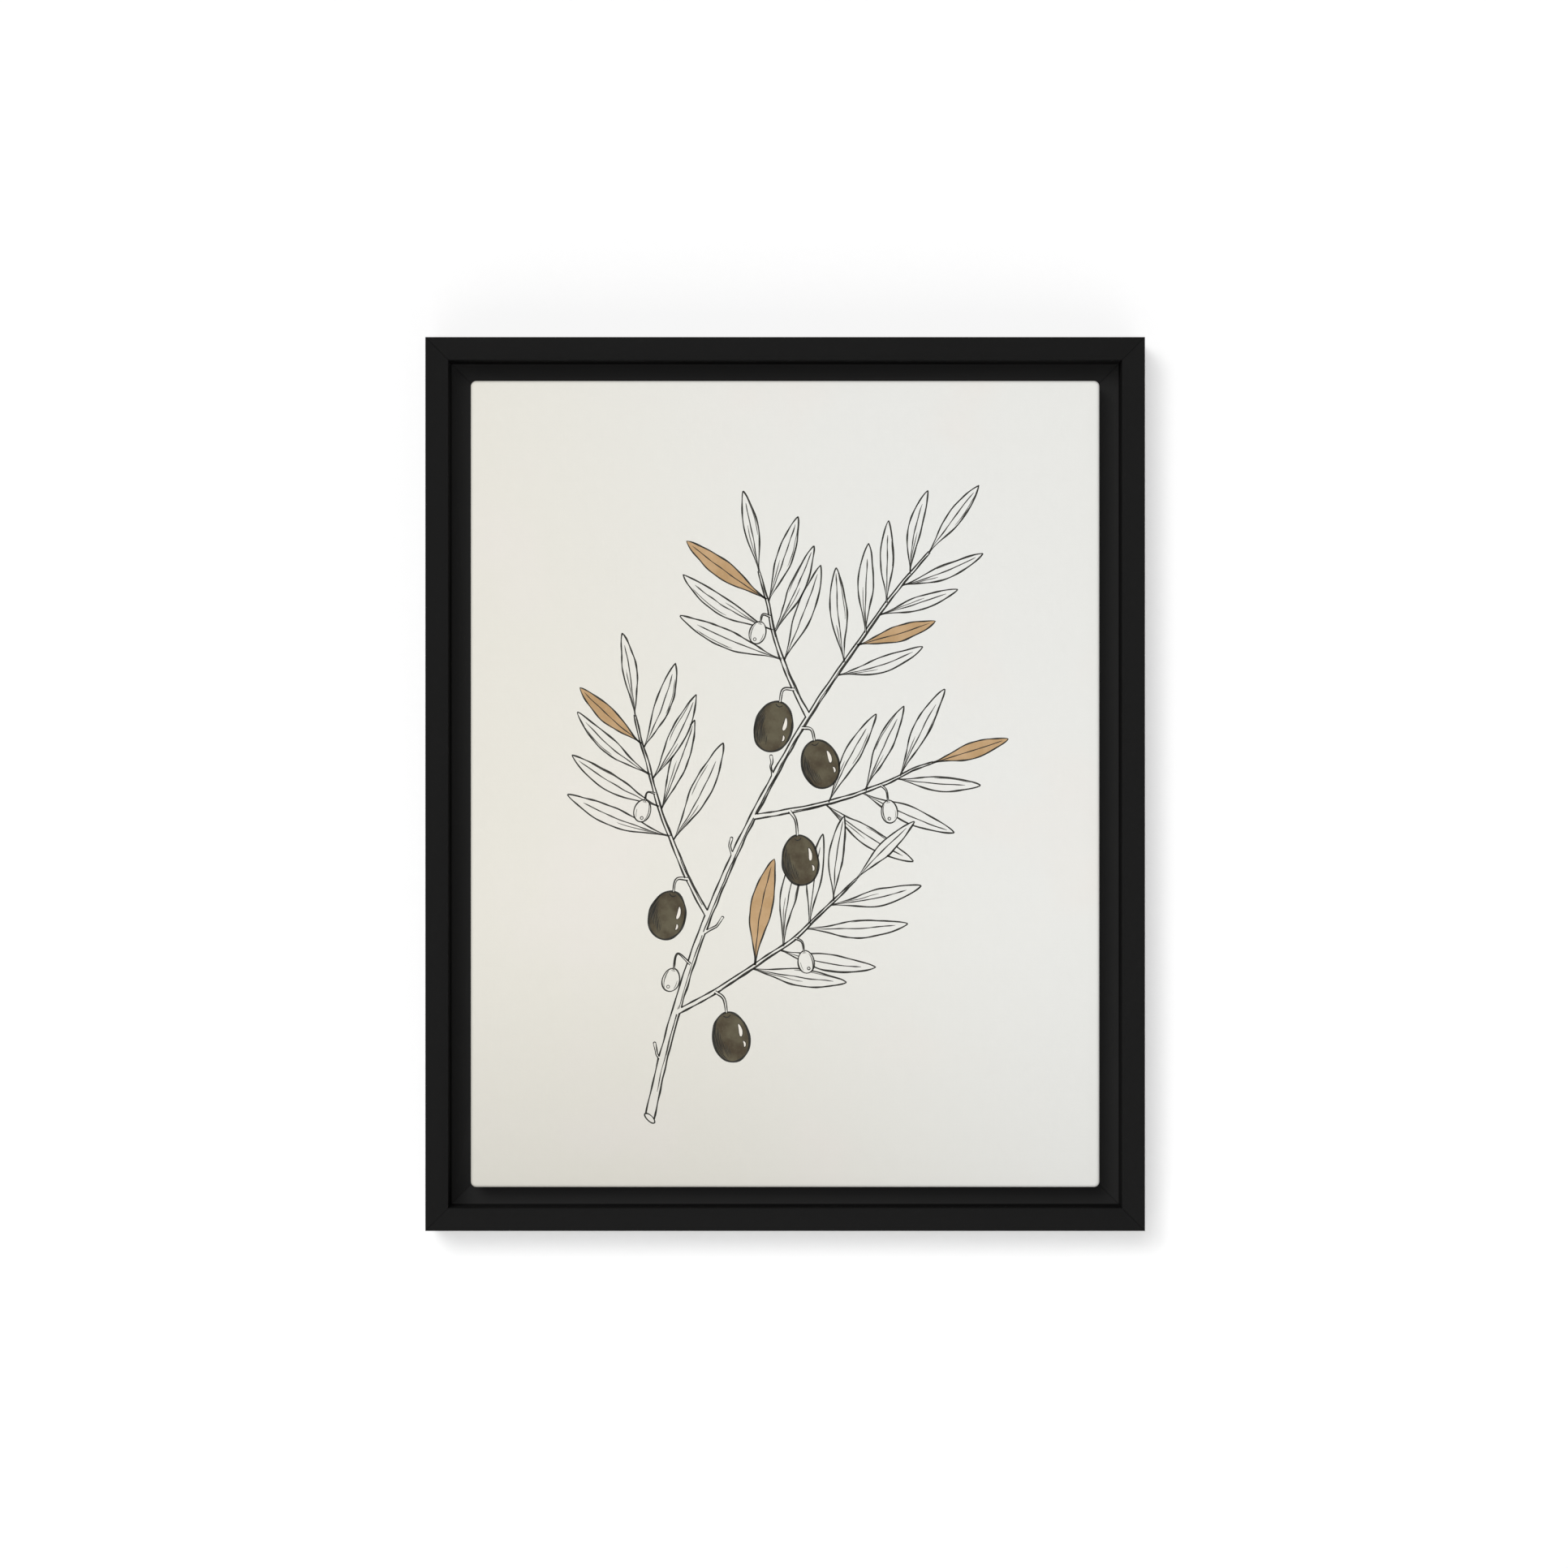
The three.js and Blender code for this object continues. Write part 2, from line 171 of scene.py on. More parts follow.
class Finish:
    """One material, put together from nodes around a Principled shader."""

    def __init__(self, name):
        self.material = bpy.data.materials.new(name)
        self.material.use_nodes = True
        self.nodes = self.material.node_tree.nodes
        self.nodes.clear()
        self.output = self.nodes.new("ShaderNodeOutputMaterial")
        self.shader = self.nodes.new("ShaderNodeBsdfPrincipled")
        self.join(self.shader.outputs[0], self.output.inputs["Surface"])

    def join(self, source, target):
        """Links one node's output to another's input."""
        self.material.node_tree.links.new(source, target)

    def put(self, node, values):
        """Links or sets a node's sockets, named or numbered in values."""
        for key, value in values.items():
            if isinstance(value, Wire):
                self.join(value.socket, node.inputs[key])
            else:
                node.inputs[key].default_value = value

    def add(self, kind, settings=None, values=None, out=0):
        """A new node of this kind, with its settings made before its sockets, as the value of one output."""
        node = self.nodes.new(kind)
        for key, value in (settings or {}).items():
            setattr(node, key, value)
        self.put(node, values or {})
        return Wire(self, node.outputs[out])

    def at(self):
        """The place on the object, as a vector and as its X, Y and Z."""
        place = self.add("ShaderNodeTexCoord", out="Object")
        return place, self.parts(place)

    def parts(self, vector):
        """A vector's X, Y and Z."""
        return [self.add("ShaderNodeSeparateXYZ", values={0: vector}, out=i) for i in range(3)]

    def stretched(self, vector, scale):
        """The vector times a scale for each axis, for patterns that are longer one way."""
        return self.add("ShaderNodeVectorMath", {"operation": "MULTIPLY"}, {0: vector, 1: scale})

    def noise(self, vector, scale, detail):
        """Cloudy noise from 0 to 1, with scale waves to the metre."""
        return self.add("ShaderNodeTexNoise", values={"Vector": vector, "Scale": scale, "Detail": detail})

    def mix(self, share, first, second):
        """The first colour where share is 0 and the second where it is 1."""
        settings = {"data_type": "RGBA", "clamp_factor": True}
        return self.add("ShaderNodeMix", settings, {0: share, 6: first, 7: second}, out=2)

    def dim(self, colour, light):
        """A colour times a value."""
        return self.add("ShaderNodeVectorMath", {"operation": "SCALE"}, {0: colour, "Scale": light})

    def bump(self, height, depth, strength=1.0):
        """A normal from a height of 0 to 1, whose full height is depth, in metres."""
        return self.add("ShaderNodeBump", values={"Height": height, "Distance": depth, "Strength": strength})

    def surface(self, **values):
        """Sets the shader: base_color, roughness and so on. Returns the finished material."""
        for key, value in values.items():
            self.put(self.shader, {key.replace("_", " ").title().replace("Ior", "IOR"): value})
        return self.material


def shown(red, green, blue):
    """A colour given as a screen shows it, from 0 to 255, in the linear light that a shader takes."""
    share = (np.array([red, green, blue]) / 255 + 0.055) / 1.055
    return (*(share ** 2.4).tolist(), 1.0)


def one_sided_white(name, glow):
    """Matt white that glows a little. Its back is clear."""
    finish = Finish(name)
    finish.surface(
        base_color=(0.8, 0.8, 0.8, 1), roughness=1.0, specular_ior_level=0.0,
        emission_color=(1, 1, 1, 1), emission_strength=glow,
    )
    clear = finish.nodes.new("ShaderNodeBsdfTransparent")
    behind = finish.add("ShaderNodeNewGeometry", out="Backfacing")
    values = {0: behind, 1: Wire(finish, finish.shader.outputs[0]), 2: Wire(finish, clear.outputs[0])}
    finish.join(finish.add("ShaderNodeMixShader", values=values).socket, finish.output.inputs["Surface"])
    return finish.material


def backdrop(name, corners, material):
    """One flat, four-cornered side of the room."""
    mesh = bpy.data.meshes.new(name)
    mesh.from_pydata(corners, [], [range(4)])
    mesh.materials.append(material)
    made = bpy.data.objects.new(name, mesh)
    bpy.context.scene.collection.objects.link(made)
    made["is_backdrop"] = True
    return made


WALL_Y = cad_high[1]
FLOOR_Z = middle[2] - 1.25
TOP_Z = FLOOR_Z + 4.0
ROOM = 4.0
WALL_GLOW = 0.235

wall = backdrop("wall", [
    (-ROOM, WALL_Y, FLOOR_Z), (ROOM, WALL_Y, FLOOR_Z), (ROOM, WALL_Y, TOP_Z), (-ROOM, WALL_Y, TOP_Z),
], one_sided_white("wall_white", WALL_GLOW))
wall.visible_shadow = False
backdrop("floor", [
    (-ROOM, -ROOM, FLOOR_Z), (ROOM, -ROOM, FLOOR_Z), (ROOM, ROOM, FLOOR_Z), (-ROOM, ROOM, FLOOR_Z),
], one_sided_white("floor_white", 0.0))


# ---- Frame rails: four lengths of L-shaped wooden moulding, mitred, glued and painted matt black ----
# The edges are eased with sandpaper before painting, so the mitres show as hairlines. The long grain under
# the thin paint shows as faint ridges.

RAIL_FACE = 10.2 * MM
RECESS = (cad_high - cad_low) / 2 - RAIL_FACE
LEDGE_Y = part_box("canvas")[1][1]


def matt_black(name, along):
    """Black paint over wood whose grain runs along X or Z: streaks in the paint, and a fine sprayed grit.

    It is twice as light on the frame's inner walls and ledge. This is painted light that brightens the
    recess."""
    finish = Finish(name)
    place, (x, y, z) = finish.at()
    grain = finish.noise(finish.stretched(place, (0.03, 1, 1) if along == "X" else (1, 1, 0.03)), 900, 3)
    grit = finish.noise(place, 5200, 2)
    cloud = finish.noise(place, 60, 2)
    tone = grain * 0.5 + cloud * 0.5
    face = finish.mix(tone, (0.0072, 0.0072, 0.0071, 1), (0.0098, 0.0097, 0.0096, 1))
    # Painted light: inside the opening, from just behind the face back to the ledge, the colour is doubled to
    # brighten the recess.
    inner = (x.size() - RECESS[0]).math("MAXIMUM", (z - middle[2]).size() - RECESS[2]).smooth(0.0005, -0.0005)
    deep = (y - cad_low[1]).smooth(0.001, 0.006) * (y - LEDGE_Y).smooth(0.0012, 0.0006) * inner
    colour = finish.mix(deep, face, finish.dim(face, 2.0))
    height = grain * 0.55 + grit * 0.45
    return finish.surface(
        base_color=colour,
        roughness=tone * 0.12 + 0.74,
        specular_ior_level=0.1,
        normal=finish.bump(height, 0.00006, 0.5),
    )


def place_piece(name, mesh, material, replaces=()):
    """Puts a finished mesh in the scene, riding on the picture, in place of the CAD nodes it stands for."""
    mesh.materials.clear()
    mesh.materials.append(material)
    made = bpy.data.objects.new(name, mesh)
    bpy.context.scene.collection.objects.link(made)
    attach(made, "root")
    if replaces:
        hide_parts(*replaces)
    return made


def eased(name, new_name, width, material, angle=28):
    """A copy of a CAD piece with its shared points merged and its sharp edges rounded by a narrow bevel."""
    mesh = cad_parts[name].data.copy()
    shape = bmesh.new()
    shape.from_mesh(mesh)
    bmesh.ops.remove_doubles(shape, verts=shape.verts, dist=2e-6)
    bmesh.ops.dissolve_limit(shape, angle_limit=math.radians(1), verts=shape.verts, edges=shape.edges)
    shape.to_mesh(mesh)
    shape.free()
    mesh.name = new_name
    made = place_piece(new_name, mesh, material, [name])
    bevel = made.modifiers.new("eased_edges", "BEVEL")
    bevel.width = width
    bevel.segments = 2
    bevel.limit_method = "ANGLE"
    bevel.angle_limit = math.radians(angle)
    bevel.harden_normals = True
    mesh.polygons.foreach_set("use_smooth", np.full(len(mesh.polygons), True))
    return made


for along, names in (("X", ("top", "bottom")), ("Z", ("left", "right"))):
    black = matt_black(f"matt_black_along_{along.lower()}", along)
    for name in names:
        eased(f"frame_rail_{name}", f"black_rail_{name}", 0.35 * MM, black)


def filled_mitres(side=0.7 * MM, under=0.04 * MM):
    """Glue and paint that fill the mitres' outer tips: a square strip just under the surface at each one."""
    front, back = (corner[1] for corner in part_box("frame_rail_top"))
    unit = np.array([(a, b, c) for a in (-0.5, 0.5) for b in (-0.5, 0.5) for c in (-0.5, 0.5)])
    sides = np.array([(0, 1, 3, 2), (4, 6, 7, 5), (0, 4, 5, 1), (2, 3, 7, 6), (0, 2, 6, 4), (1, 5, 7, 3)])
    reach = (cad_high - cad_low) / 2 - under - side / 2
    spots = [(x * reach[0], (front + back) / 2, middle[2] + z * reach[2]) for x in (-1, 1) for z in (-1, 1)]
    points = np.concatenate([unit * (side, back - front - 2 * under, side) + spot for spot in spots])
    mesh = bpy.data.meshes.new("mitre_filler")
    mesh.from_pydata(points.tolist(), [], np.concatenate([sides + 8 * k for k in range(4)]).tolist())
    place_piece("mitre_filler", mesh, black)


filled_mitres()


# ---- Stretcher bars: four planed pine bars, mitred at the corners, that the cloth is stretched over ----
# Bare wood with straight grain along each bar, a little darker where the late wood shows.

def bare_wood(name, along, pale, dark, scale, roughness=0.62):
    """Growth lines: bands across the grain, bent by slow noise, with fine pores stretched along it."""
    finish = Finish(name)
    place, parts = finish.at()
    run = (0.06, 1, 1) if along == "X" else (1, 1, 0.06)
    across = parts[2] if along == "X" else parts[0]
    drift = finish.noise(finish.stretched(place, run), 28, 2)
    rings = (across * scale + parts[1] * scale * 0.6 + drift * 9).sine() * 0.5 + 0.5
    pores = finish.noise(finish.stretched(place, run), 1400, 3)
    share = rings ** 3 * 0.65 + pores * 0.35
    return finish.surface(
        base_color=finish.mix(share, pale, dark),
        roughness=share * -0.12 + roughness,
        normal=finish.bump(pores * 0.7 + rings * 0.3, 0.00012, 0.6),
    )


PINE_PALE, PINE_DARK = shown(228, 203, 162), shown(199, 160, 112)
for along, names in (("X", ("top", "bottom")), ("Z", ("left", "right"))):
    pine = bare_wood(f"pine_along_{along.lower()}", along, PINE_PALE, PINE_DARK, 1500)
    for name in names:
        eased(f"stretcher_bar_{name}", f"pine_bar_{name}", 0.5 * MM, pine, 40)


# ---- Canvas: cotton cloth, printed, pulled over the bars and turned in behind ----
# One sheet 0.6 mm thick. It turns over the front edges, runs down the sides and lies flat behind, where its
# corners are folded over and its cut edge is left raw. Between the staples it stands up a little.

CLOTH = 0.6 * MM
CORNER_ROUND = 2.5 * MM
EDGE_ROUND = 1.6 * MM
HEM = 26 * MM
PRESSED = 12 * MM  # how far in from the edge the frame's ledge presses the turned-in cloth flat
PRINT_PAST_EDGE = 25 * MM  # how far the print runs on, past the front's edge
THREAD = 0.46 * MM
THREAD_RELIEF = 0.09 * MM  # how far the threads stand up on the printed side
PUFF = 0.55 * MM  # how far the turned-in cloth rises between the staples
FOLD_STEP = 0.75 * MM  # how much higher it lies on a corner's fold
CREASE = 0.16 * MM
FLAP = 0.45 * MM  # how far a corner's fold stands out on the side
CLOTH_STEPS = (1.0 * MM, 3.2 * MM, 46 * MM)  # near a corner and away from it, and how far the first reaches

cloth_low, cloth_high = np.array(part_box("canvas"))
centre = (cloth_low + cloth_high) / 2
half_width, half_height = (cloth_high[0] - cloth_low[0]) / 2, (cloth_high[2] - cloth_low[2]) / 2
front_y, hem_y = cloth_low[1], cloth_high[1]
STAPLES = {"top": 4, "bottom": 4, "left": 5, "right": 5}


def spaced(length, fine, coarse, reach):
    """Places from 0 to length: a fine step apart within reach of both ends, and a coarse step between."""
    near = np.arange(0, reach, fine)
    far = np.linspace(reach, length - reach, max(2, round((length - 2 * reach) / coarse)))
    return np.concatenate([near, far, length - near[::-1]])


def rounded_loop(inset, corner):
    """A rounded rectangle's points and outward normals, anticlockwise seen from the front, set in by inset.

    Each side is a straight run at the places that spaced gives, and each corner is a quarter of a circle."""
    points, normals = [], []
    turns = np.linspace(0, np.pi / 2, 7)[1:-1]
    size = np.array([half_width, half_height])
    runs = [spaced(1, *np.array(CLOTH_STEPS) / (2 * s)) for s in size]
    for k in range(4):
        out = np.array([np.cos(k * np.pi / 2), np.sin(k * np.pi / 2)]).round()
        on = np.array([-out[1], out[0]])
        reach = abs(size @ on) - inset - corner
        share = runs[0] if abs(out[0]) < 0.5 else runs[1]
        edge = (abs(size @ out) - inset) * out
        points.append(edge + np.outer((2 * share - 1) * reach, on))
        normals.append(np.tile(out, (len(share), 1)))
        pivot = edge - corner * out + reach * on
        fan = np.cos(turns)[:, None] * out + np.sin(turns)[:, None] * on
        points.append(pivot + corner * fan)
        normals.append(fan)
    return np.concatenate(points), np.concatenate(normals)


def edge_profile():
    """The cloth's outer line across an edge: inset, depth behind the front, and distance along the cloth.

    The line is straight down the side and behind, with a quarter of a circle at each turn."""
    round_over = np.linspace(0, np.pi / 2, 6)
    deep = hem_y - front_y
    inset = np.concatenate([
        EDGE_ROUND * (1 - np.sin(round_over)),
        np.zeros(9),
        EDGE_ROUND * (1 - np.cos(round_over[1:])),
        EDGE_ROUND + (HEM - EDGE_ROUND) * np.linspace(0, 1, 20)[1:],
    ])
    depth = np.concatenate([
        EDGE_ROUND * (1 - np.cos(round_over)),
        np.linspace(EDGE_ROUND, deep - EDGE_ROUND, 11)[1:-1],
        deep - EDGE_ROUND * (1 - np.sin(round_over[1:])),
        np.full(19, deep),
    ])
    step = np.hypot(np.diff(inset), np.diff(depth))
    return inset, depth, np.concatenate([[0], np.cumsum(step)])


def smoothstep(values, start, end):
    """0 below start and 1 above end, with an S-shaped cubic between. Start may be the greater."""
    t = np.clip((values - start) / (end - start), 0, 1)
    return t * t * (3 - 2 * t)


def staple_spots():
    """The middles of the staples, across and up, read from their CAD boxes."""
    names = [f"staple_{side}_{i + 1}" for side, count in STAPLES.items() for i in range(count)]
    boxes = [np.array(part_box(name)).mean(axis=0) for name in names]
    return np.array([[box[0], box[2]] for box in boxes]) - centre[[0, 2]]


def hem_height(points, from_edge):
    """How far the turned-in cloth stands off the bars.

    It is down at each staple and on the pressed outer strip, rises between the staples, and steps up where a
    corner's fold lies on the cloth below it. Two crossed sines give it creases."""
    gap = np.linalg.norm(points[:, :, None, :] - staple_spots(), axis=3).min(axis=2)
    puff = PUFF * smoothstep(gap, 3 * MM, 20 * MM)
    side = half_width - np.abs(points[:, :, 0])
    end = half_height - np.abs(points[:, :, 1])
    lap = smoothstep(side - end, 0, 0.9 * MM) * smoothstep(side, 43 * MM, 41.5 * MM)
    free = smoothstep(from_edge, PRESSED, PRESSED + 4 * MM)[:, None]
    crease = CREASE * np.sin(points[:, :, 0] * 310) * np.sin(points[:, :, 1] * 270 + 1)
    return (puff + FOLD_STEP * lap + crease) * free


def wrapped_cloth():
    """The cloth's outer face, as a grid of points, and the same points on the flat sheet.

    It is made of loops that grow from the middle of the front to its edge, then follow the edge's profile to
    the cut edge behind. A flap stands out on the sides where the corners are folded under it."""
    inset, depth, run = edge_profile()
    loops = [rounded_loop(i, max(CORNER_ROUND - i, 0.3 * MM)) for i in inset]
    points = np.array([loop for loop, _ in loops])
    normals = loops[0][1]
    flat = points[0] + normals * run[:, None, None]
    behind = inset > EDGE_ROUND * 1.01
    count = np.arange(points.shape[1])
    rough_cut = np.sin(count * 0.9) * np.sin(count * 0.37) * 0.5 * MM
    points[-1] += normals * rough_cut[:, None]
    lift = np.zeros(points.shape[:2])
    tail = np.flatnonzero(behind & (depth > depth.max() - 1e-9))
    lift[tail] = hem_height(points[tail], inset[tail])
    places = np.stack([points[:, :, 0], depth[:, None] + lift, points[:, :, 1]], axis=2)
    fold = np.abs(normals[:, 1]) > 0.99
    along = half_width - np.abs(points[0, :, 0])
    flap = smoothstep(depth[:, None] - along, 0, 2.4 * MM) * fold
    flap *= (smoothstep(depth, 2.5 * MM, 9 * MM) * (run < run[tail[0]]))[:, None]
    places[:, :, [0, 2]] += FLAP * flap[:, :, None] * normals
    shares = np.array([0.0, 0.35, 0.7, 0.9, 0.97])[:, None, None]
    front = points[0] * shares
    front_places = np.stack([front[:, :, 0], np.zeros(front.shape[:2]), front[:, :, 1]], axis=2)
    grid = np.concatenate([front_places, places]) + [centre[0], front_y, centre[2]]
    return grid, np.concatenate([front, flat])


def grid_faces(rows, columns):
    """Quads over a grid of points that are numbered row by row. The columns close up into a loop."""
    row, column = np.meshgrid(np.arange(rows - 1) * columns, np.arange(columns), indexing="ij")
    beside = (column + 1) % columns
    quads = [row + column, row + beside, row + columns + beside, row + columns + column]
    return np.stack(quads, axis=-1).reshape(-1, 4)


def turn_outwards(mesh, merge=False):
    """Turns a mesh's faces outwards, after merging its shared points if asked."""
    shape = bmesh.new()
    shape.from_mesh(mesh)
    if merge:
        bmesh.ops.remove_doubles(shape, verts=shape.verts, dist=1e-7)
        bmesh.ops.dissolve_degenerate(shape, edges=shape.edges, dist=1e-8)
    bmesh.ops.recalc_face_normals(shape, faces=shape.faces)
    shape.to_mesh(mesh)
    shape.free()


def make_piece(name, points, faces, material, replaces=(), smooth=True):
    """A mesh piece from points and faces, with shared points merged and its faces turned outwards."""
    mesh = bpy.data.meshes.new(name)
    mesh.from_pydata(np.reshape(points, (-1, 3)).tolist(), [], [list(face) for face in faces])
    turn_outwards(mesh, merge=True)
    mesh.polygons.foreach_set("use_smooth", np.full(len(mesh.polygons), smooth))
    return place_piece(name, mesh, material, replaces)


def weave(across, up):
    """Plain weave: a pillow at each crossing of two threads."""
    pillow = (across * (math.pi / THREAD)).sine().size() * (up * (math.pi / THREAD)).sine().size()
    return pillow ** 0.6


def sheet_place(finish):
    """The place on the flat sheet, in metres, from the cloth's own map: as a vector, and across and up."""
    sheet = finish.add("ShaderNodeUVMap", {"uv_map": "sheet"})
    return sheet, *finish.parts(sheet)[:2]


def slubs(finish, place):
    """Uneven threads: noise drawn out along the threads of each direction."""
    across = finish.noise(finish.stretched(place, (0.05, 1, 1)), 2100, 2)
    up = finish.noise(finish.stretched(place, (1, 0.05, 1)), 2100, 2)
    return across * 0.5 + up * 0.5


def paper_tone(finish, x, z, place):
    """The print's pale ground: warm on the left, cool on the right, and greyer towards the lower left."""
    right = (x + z * 0.3).smooth(-0.14, 0.11)
    cloud = finish.noise(place, 16, 2)
    ground = finish.mix(right, shown(231, 228, 218), shown(232, 232, 228))
    ground = finish.mix(cloud.smooth(0.5, 0.75) * 0.5, ground, shown(234, 229, 223))
    lower = (z * -1).smooth(0.03, 0.24)
    fade = 1 - lower * (0.20 - right * 0.08)
    return finish.dim(ground, fade)


def printed_cloth():
    """Cotton canvas: printed on the front and sides, bare past the print's edge, woven all over."""
    finish = Finish("printed_canvas")
    sheet, across, up = sheet_place(finish)
    place, (x, _, z) = finish.at()
    slub = slubs(finish, sheet)
    ground = paper_tone(finish, x, z + -centre[2], place)
    bare = finish.mix(slub, shown(226, 218, 200), shown(240, 234, 220))
    edge = slub * 0.0008 + PRINT_PAST_EDGE
    past = (across.size() - half_width - edge).math("MAXIMUM", up.size() - half_height - edge)
    colour = finish.mix(past.smooth(0, 0.0006), ground, bare)
    height = weave(across, up) * 0.75 + slub * 0.25
    return finish.surface(
        base_color=colour, roughness=0.82, specular_ior_level=0.25,
        normal=finish.bump(height, THREAD_RELIEF, 0.55),
    )


def bare_cloth():
    """The unprinted back of the cotton."""
    finish = Finish("bare_canvas")
    sheet, across, up = sheet_place(finish)
    slub = slubs(finish, sheet)
    height = weave(across, up) * 0.7 + slub * 0.3
    return finish.surface(
        base_color=finish.mix(slub, shown(220, 212, 196), shown(236, 230, 218)),
        roughness=0.9, specular_ior_level=0.2, normal=finish.bump(height, 0.00014, 0.7),
    )


def stretched_canvas():
    """The sheet: its outer face, mapped to the flat sheet, with its thickness inwards and a bare back."""
    grid, flat = wrapped_cloth()
    rows, columns = grid.shape[:2]
    faces = grid_faces(rows, columns)
    mesh = bpy.data.meshes.new("canvas_cloth")
    mesh.from_pydata(grid.reshape(-1, 3).tolist(), [], faces.tolist())
    uv = mesh.uv_layers.new(name="sheet")
    corners = np.empty(len(mesh.loops), np.int32)
    mesh.loops.foreach_get("vertex_index", corners)
    uv.data.foreach_set("uv", flat.reshape(-1, 2)[corners].astype(np.float32).ravel())
    shape = bmesh.new()
    shape.from_mesh(mesh)
    bmesh.ops.remove_doubles(shape, verts=shape.verts, dist=1e-7)
    bmesh.ops.recalc_face_normals(shape, faces=shape.faces)
    shape.faces.ensure_lookup_table()
    if shape.faces[0].normal.y > 0:
        bmesh.ops.reverse_faces(shape, faces=shape.faces)
    shape.to_mesh(mesh)
    shape.free()
    mesh.polygons.foreach_set("use_smooth", np.full(len(mesh.polygons), True))
    made = place_piece("canvas_cloth", mesh, printed_cloth(), ["canvas"])
    mesh.materials.append(bare_cloth())
    skin = made.modifiers.new("thickness", "SOLIDIFY")
    skin.thickness = CLOTH
    skin.offset = -1
    skin.material_offset = 1
    skin.material_offset_rim = 1
    return made


canvas_cloth = stretched_canvas()


# ---- Loose threads: the raw edge of the turned-in cloth frays ----
# Single cotton threads, each bent its own way, that hang out of the cut edge behind.

def tube(path, radius, sides):
    """Points and faces of a round tube along a path of points, its section kept square to the path."""
    ahead = np.gradient(path, axis=0)
    ahead /= np.linalg.norm(ahead, axis=1, keepdims=True)
    guide = np.array([0.0, 1.0, 0.0]) if abs(ahead[0][1]) < 0.9 else np.array([1.0, 0.0, 0.0])
    side = np.cross(ahead, guide)
    side /= np.linalg.norm(side, axis=1, keepdims=True)
    over = np.cross(side, ahead)
    turn = np.arange(sides) / sides * 2 * np.pi
    ring = side[:, None] * np.cos(turn)[:, None] + over[:, None] * np.sin(turn)[:, None]
    points = path[:, None] + ring * radius
    caps = [list(range(sides))[::-1], [len(path) * sides - sides + k for k in range(sides)]]
    return points.reshape(-1, 3), grid_faces(len(path), sides).tolist() + caps


def joined(parts):
    """Several lots of points and faces as one."""
    points, faces, count = [], [], 0
    for some_points, some_faces in parts:
        points.append(some_points)
        faces += [[corner + count for corner in face] for face in some_faces]
        count += len(some_points)
    return np.concatenate(points), faces


def cotton_thread():
    """Undyed cotton, mottled by fine noise as if twisted."""
    finish = Finish("cotton_thread")
    place, _ = finish.at()
    twist = finish.noise(place, 6000, 1)
    colour = finish.mix(twist, shown(228, 219, 200), shown(243, 238, 226))
    return finish.surface(base_color=colour, roughness=0.9, normal=finish.bump(twist, 0.00005))


def frayed_edge(count=110, radius=0.09 * MM):
    """Threads that start just inside the cut edge and leave it at a slant, curling by a slow sine."""
    parts = []
    inner = np.array([half_width, half_height]) - HEM
    for k in range(count):
        along = rng.uniform(-1, 1)
        upright = k % 2
        sign = 1 if k % 4 < 2 else -1
        start = inner * ([sign, along] if upright else [along, sign])
        out = np.array([-sign, 0.0] if upright else [0.0, -sign])
        slant = rng.uniform(-0.9, 0.9)
        length = rng.uniform(1.2, 4.5) * MM
        s = np.linspace(-0.25, 1, 6)[:, None]
        on = np.array([out[1], out[0]])
        path = start + s * length * (out + slant * on) + np.sin(s * rng.uniform(1, 4)) * on * 0.5 * MM
        rise = hem_y - 0.15 * MM + rng.uniform(0.0, 0.5) * MM * s[:, 0] ** 2
        path = np.column_stack([path[:, 0] + centre[0], rise, path[:, 1] + centre[2]])
        parts.append(tube(path, radius, 5))
    points, faces = joined(parts)
    return make_piece("loose_threads", points, faces, cotton_thread())


loose_threads = frayed_edge()


# ---- Drawing: an olive branch in dark ink, with brown washes, printed on the cloth ----
# A textbook sprig, laid out by rule: a leaning stem, twigs to each side, leaves in pairs and hanging fruit.
# Each shape's outline hides what is behind it. The ink is in thin layers, hundredths of a millimetre proud.

STEP = 0.3  # between the points of a drawn line
INK_PROUD, WASH_PROUD, GLINT_PROUD = 0.06, 0.03, 0.05  # how far each stands up from the cloth
REGISTER = 0.12  # how far the brown wash is printed to one side of its leaf


def resampled(points):
    """The same line with its points a step apart."""
    run = np.concatenate([[0], np.cumsum(np.linalg.norm(np.diff(points, axis=0), axis=1))])
    places = np.linspace(0, run[-1], max(4, round(run[-1] / STEP)))
    return np.column_stack([np.interp(places, run, points[:, k]) for k in range(points.shape[1])])


def spline(knots):
    """A smooth line through the knots: a Catmull-Rom cubic between each two, with its ends mirrored."""
    p = np.array(knots, float)
    p = np.vstack([2 * p[0] - p[1], p, 2 * p[-1] - p[-2]])
    t = np.linspace(0, 1, 25)[:-1][None, :, None]
    a, b, c, d = (p[i:len(p) - 3 + i, None] for i in range(4))
    curve = 0.5 * (2 * b + (c - a) * t + (2 * a - 5 * b + 4 * c - d) * t**2 + (3 * b - a - 3 * c + d) * t**3)
    return resampled(np.vstack([curve.reshape(-1, p.shape[1]), p[-2]]))


def across_line(line):
    """Unit vectors to the left of a line, at each of its points."""
    ahead = np.gradient(line, axis=0)
    ahead /= np.maximum(np.linalg.norm(ahead, axis=1, keepdims=True), 1e-9)
    return np.column_stack([-ahead[:, 1], ahead[:, 0]])


def unsteady(count, wave, amount):
    """Slow random drift along a line, as a hand makes: three sines of about the given wave, in steps."""
    s = np.arange(count) * STEP
    waves = wave * rng.uniform(0.6, 1.7, 3)
    phases = rng.uniform(0, 2 * np.pi, 3)
    return amount * np.sin(s[:, None] * 2 * np.pi / waves + phases).mean(axis=1)


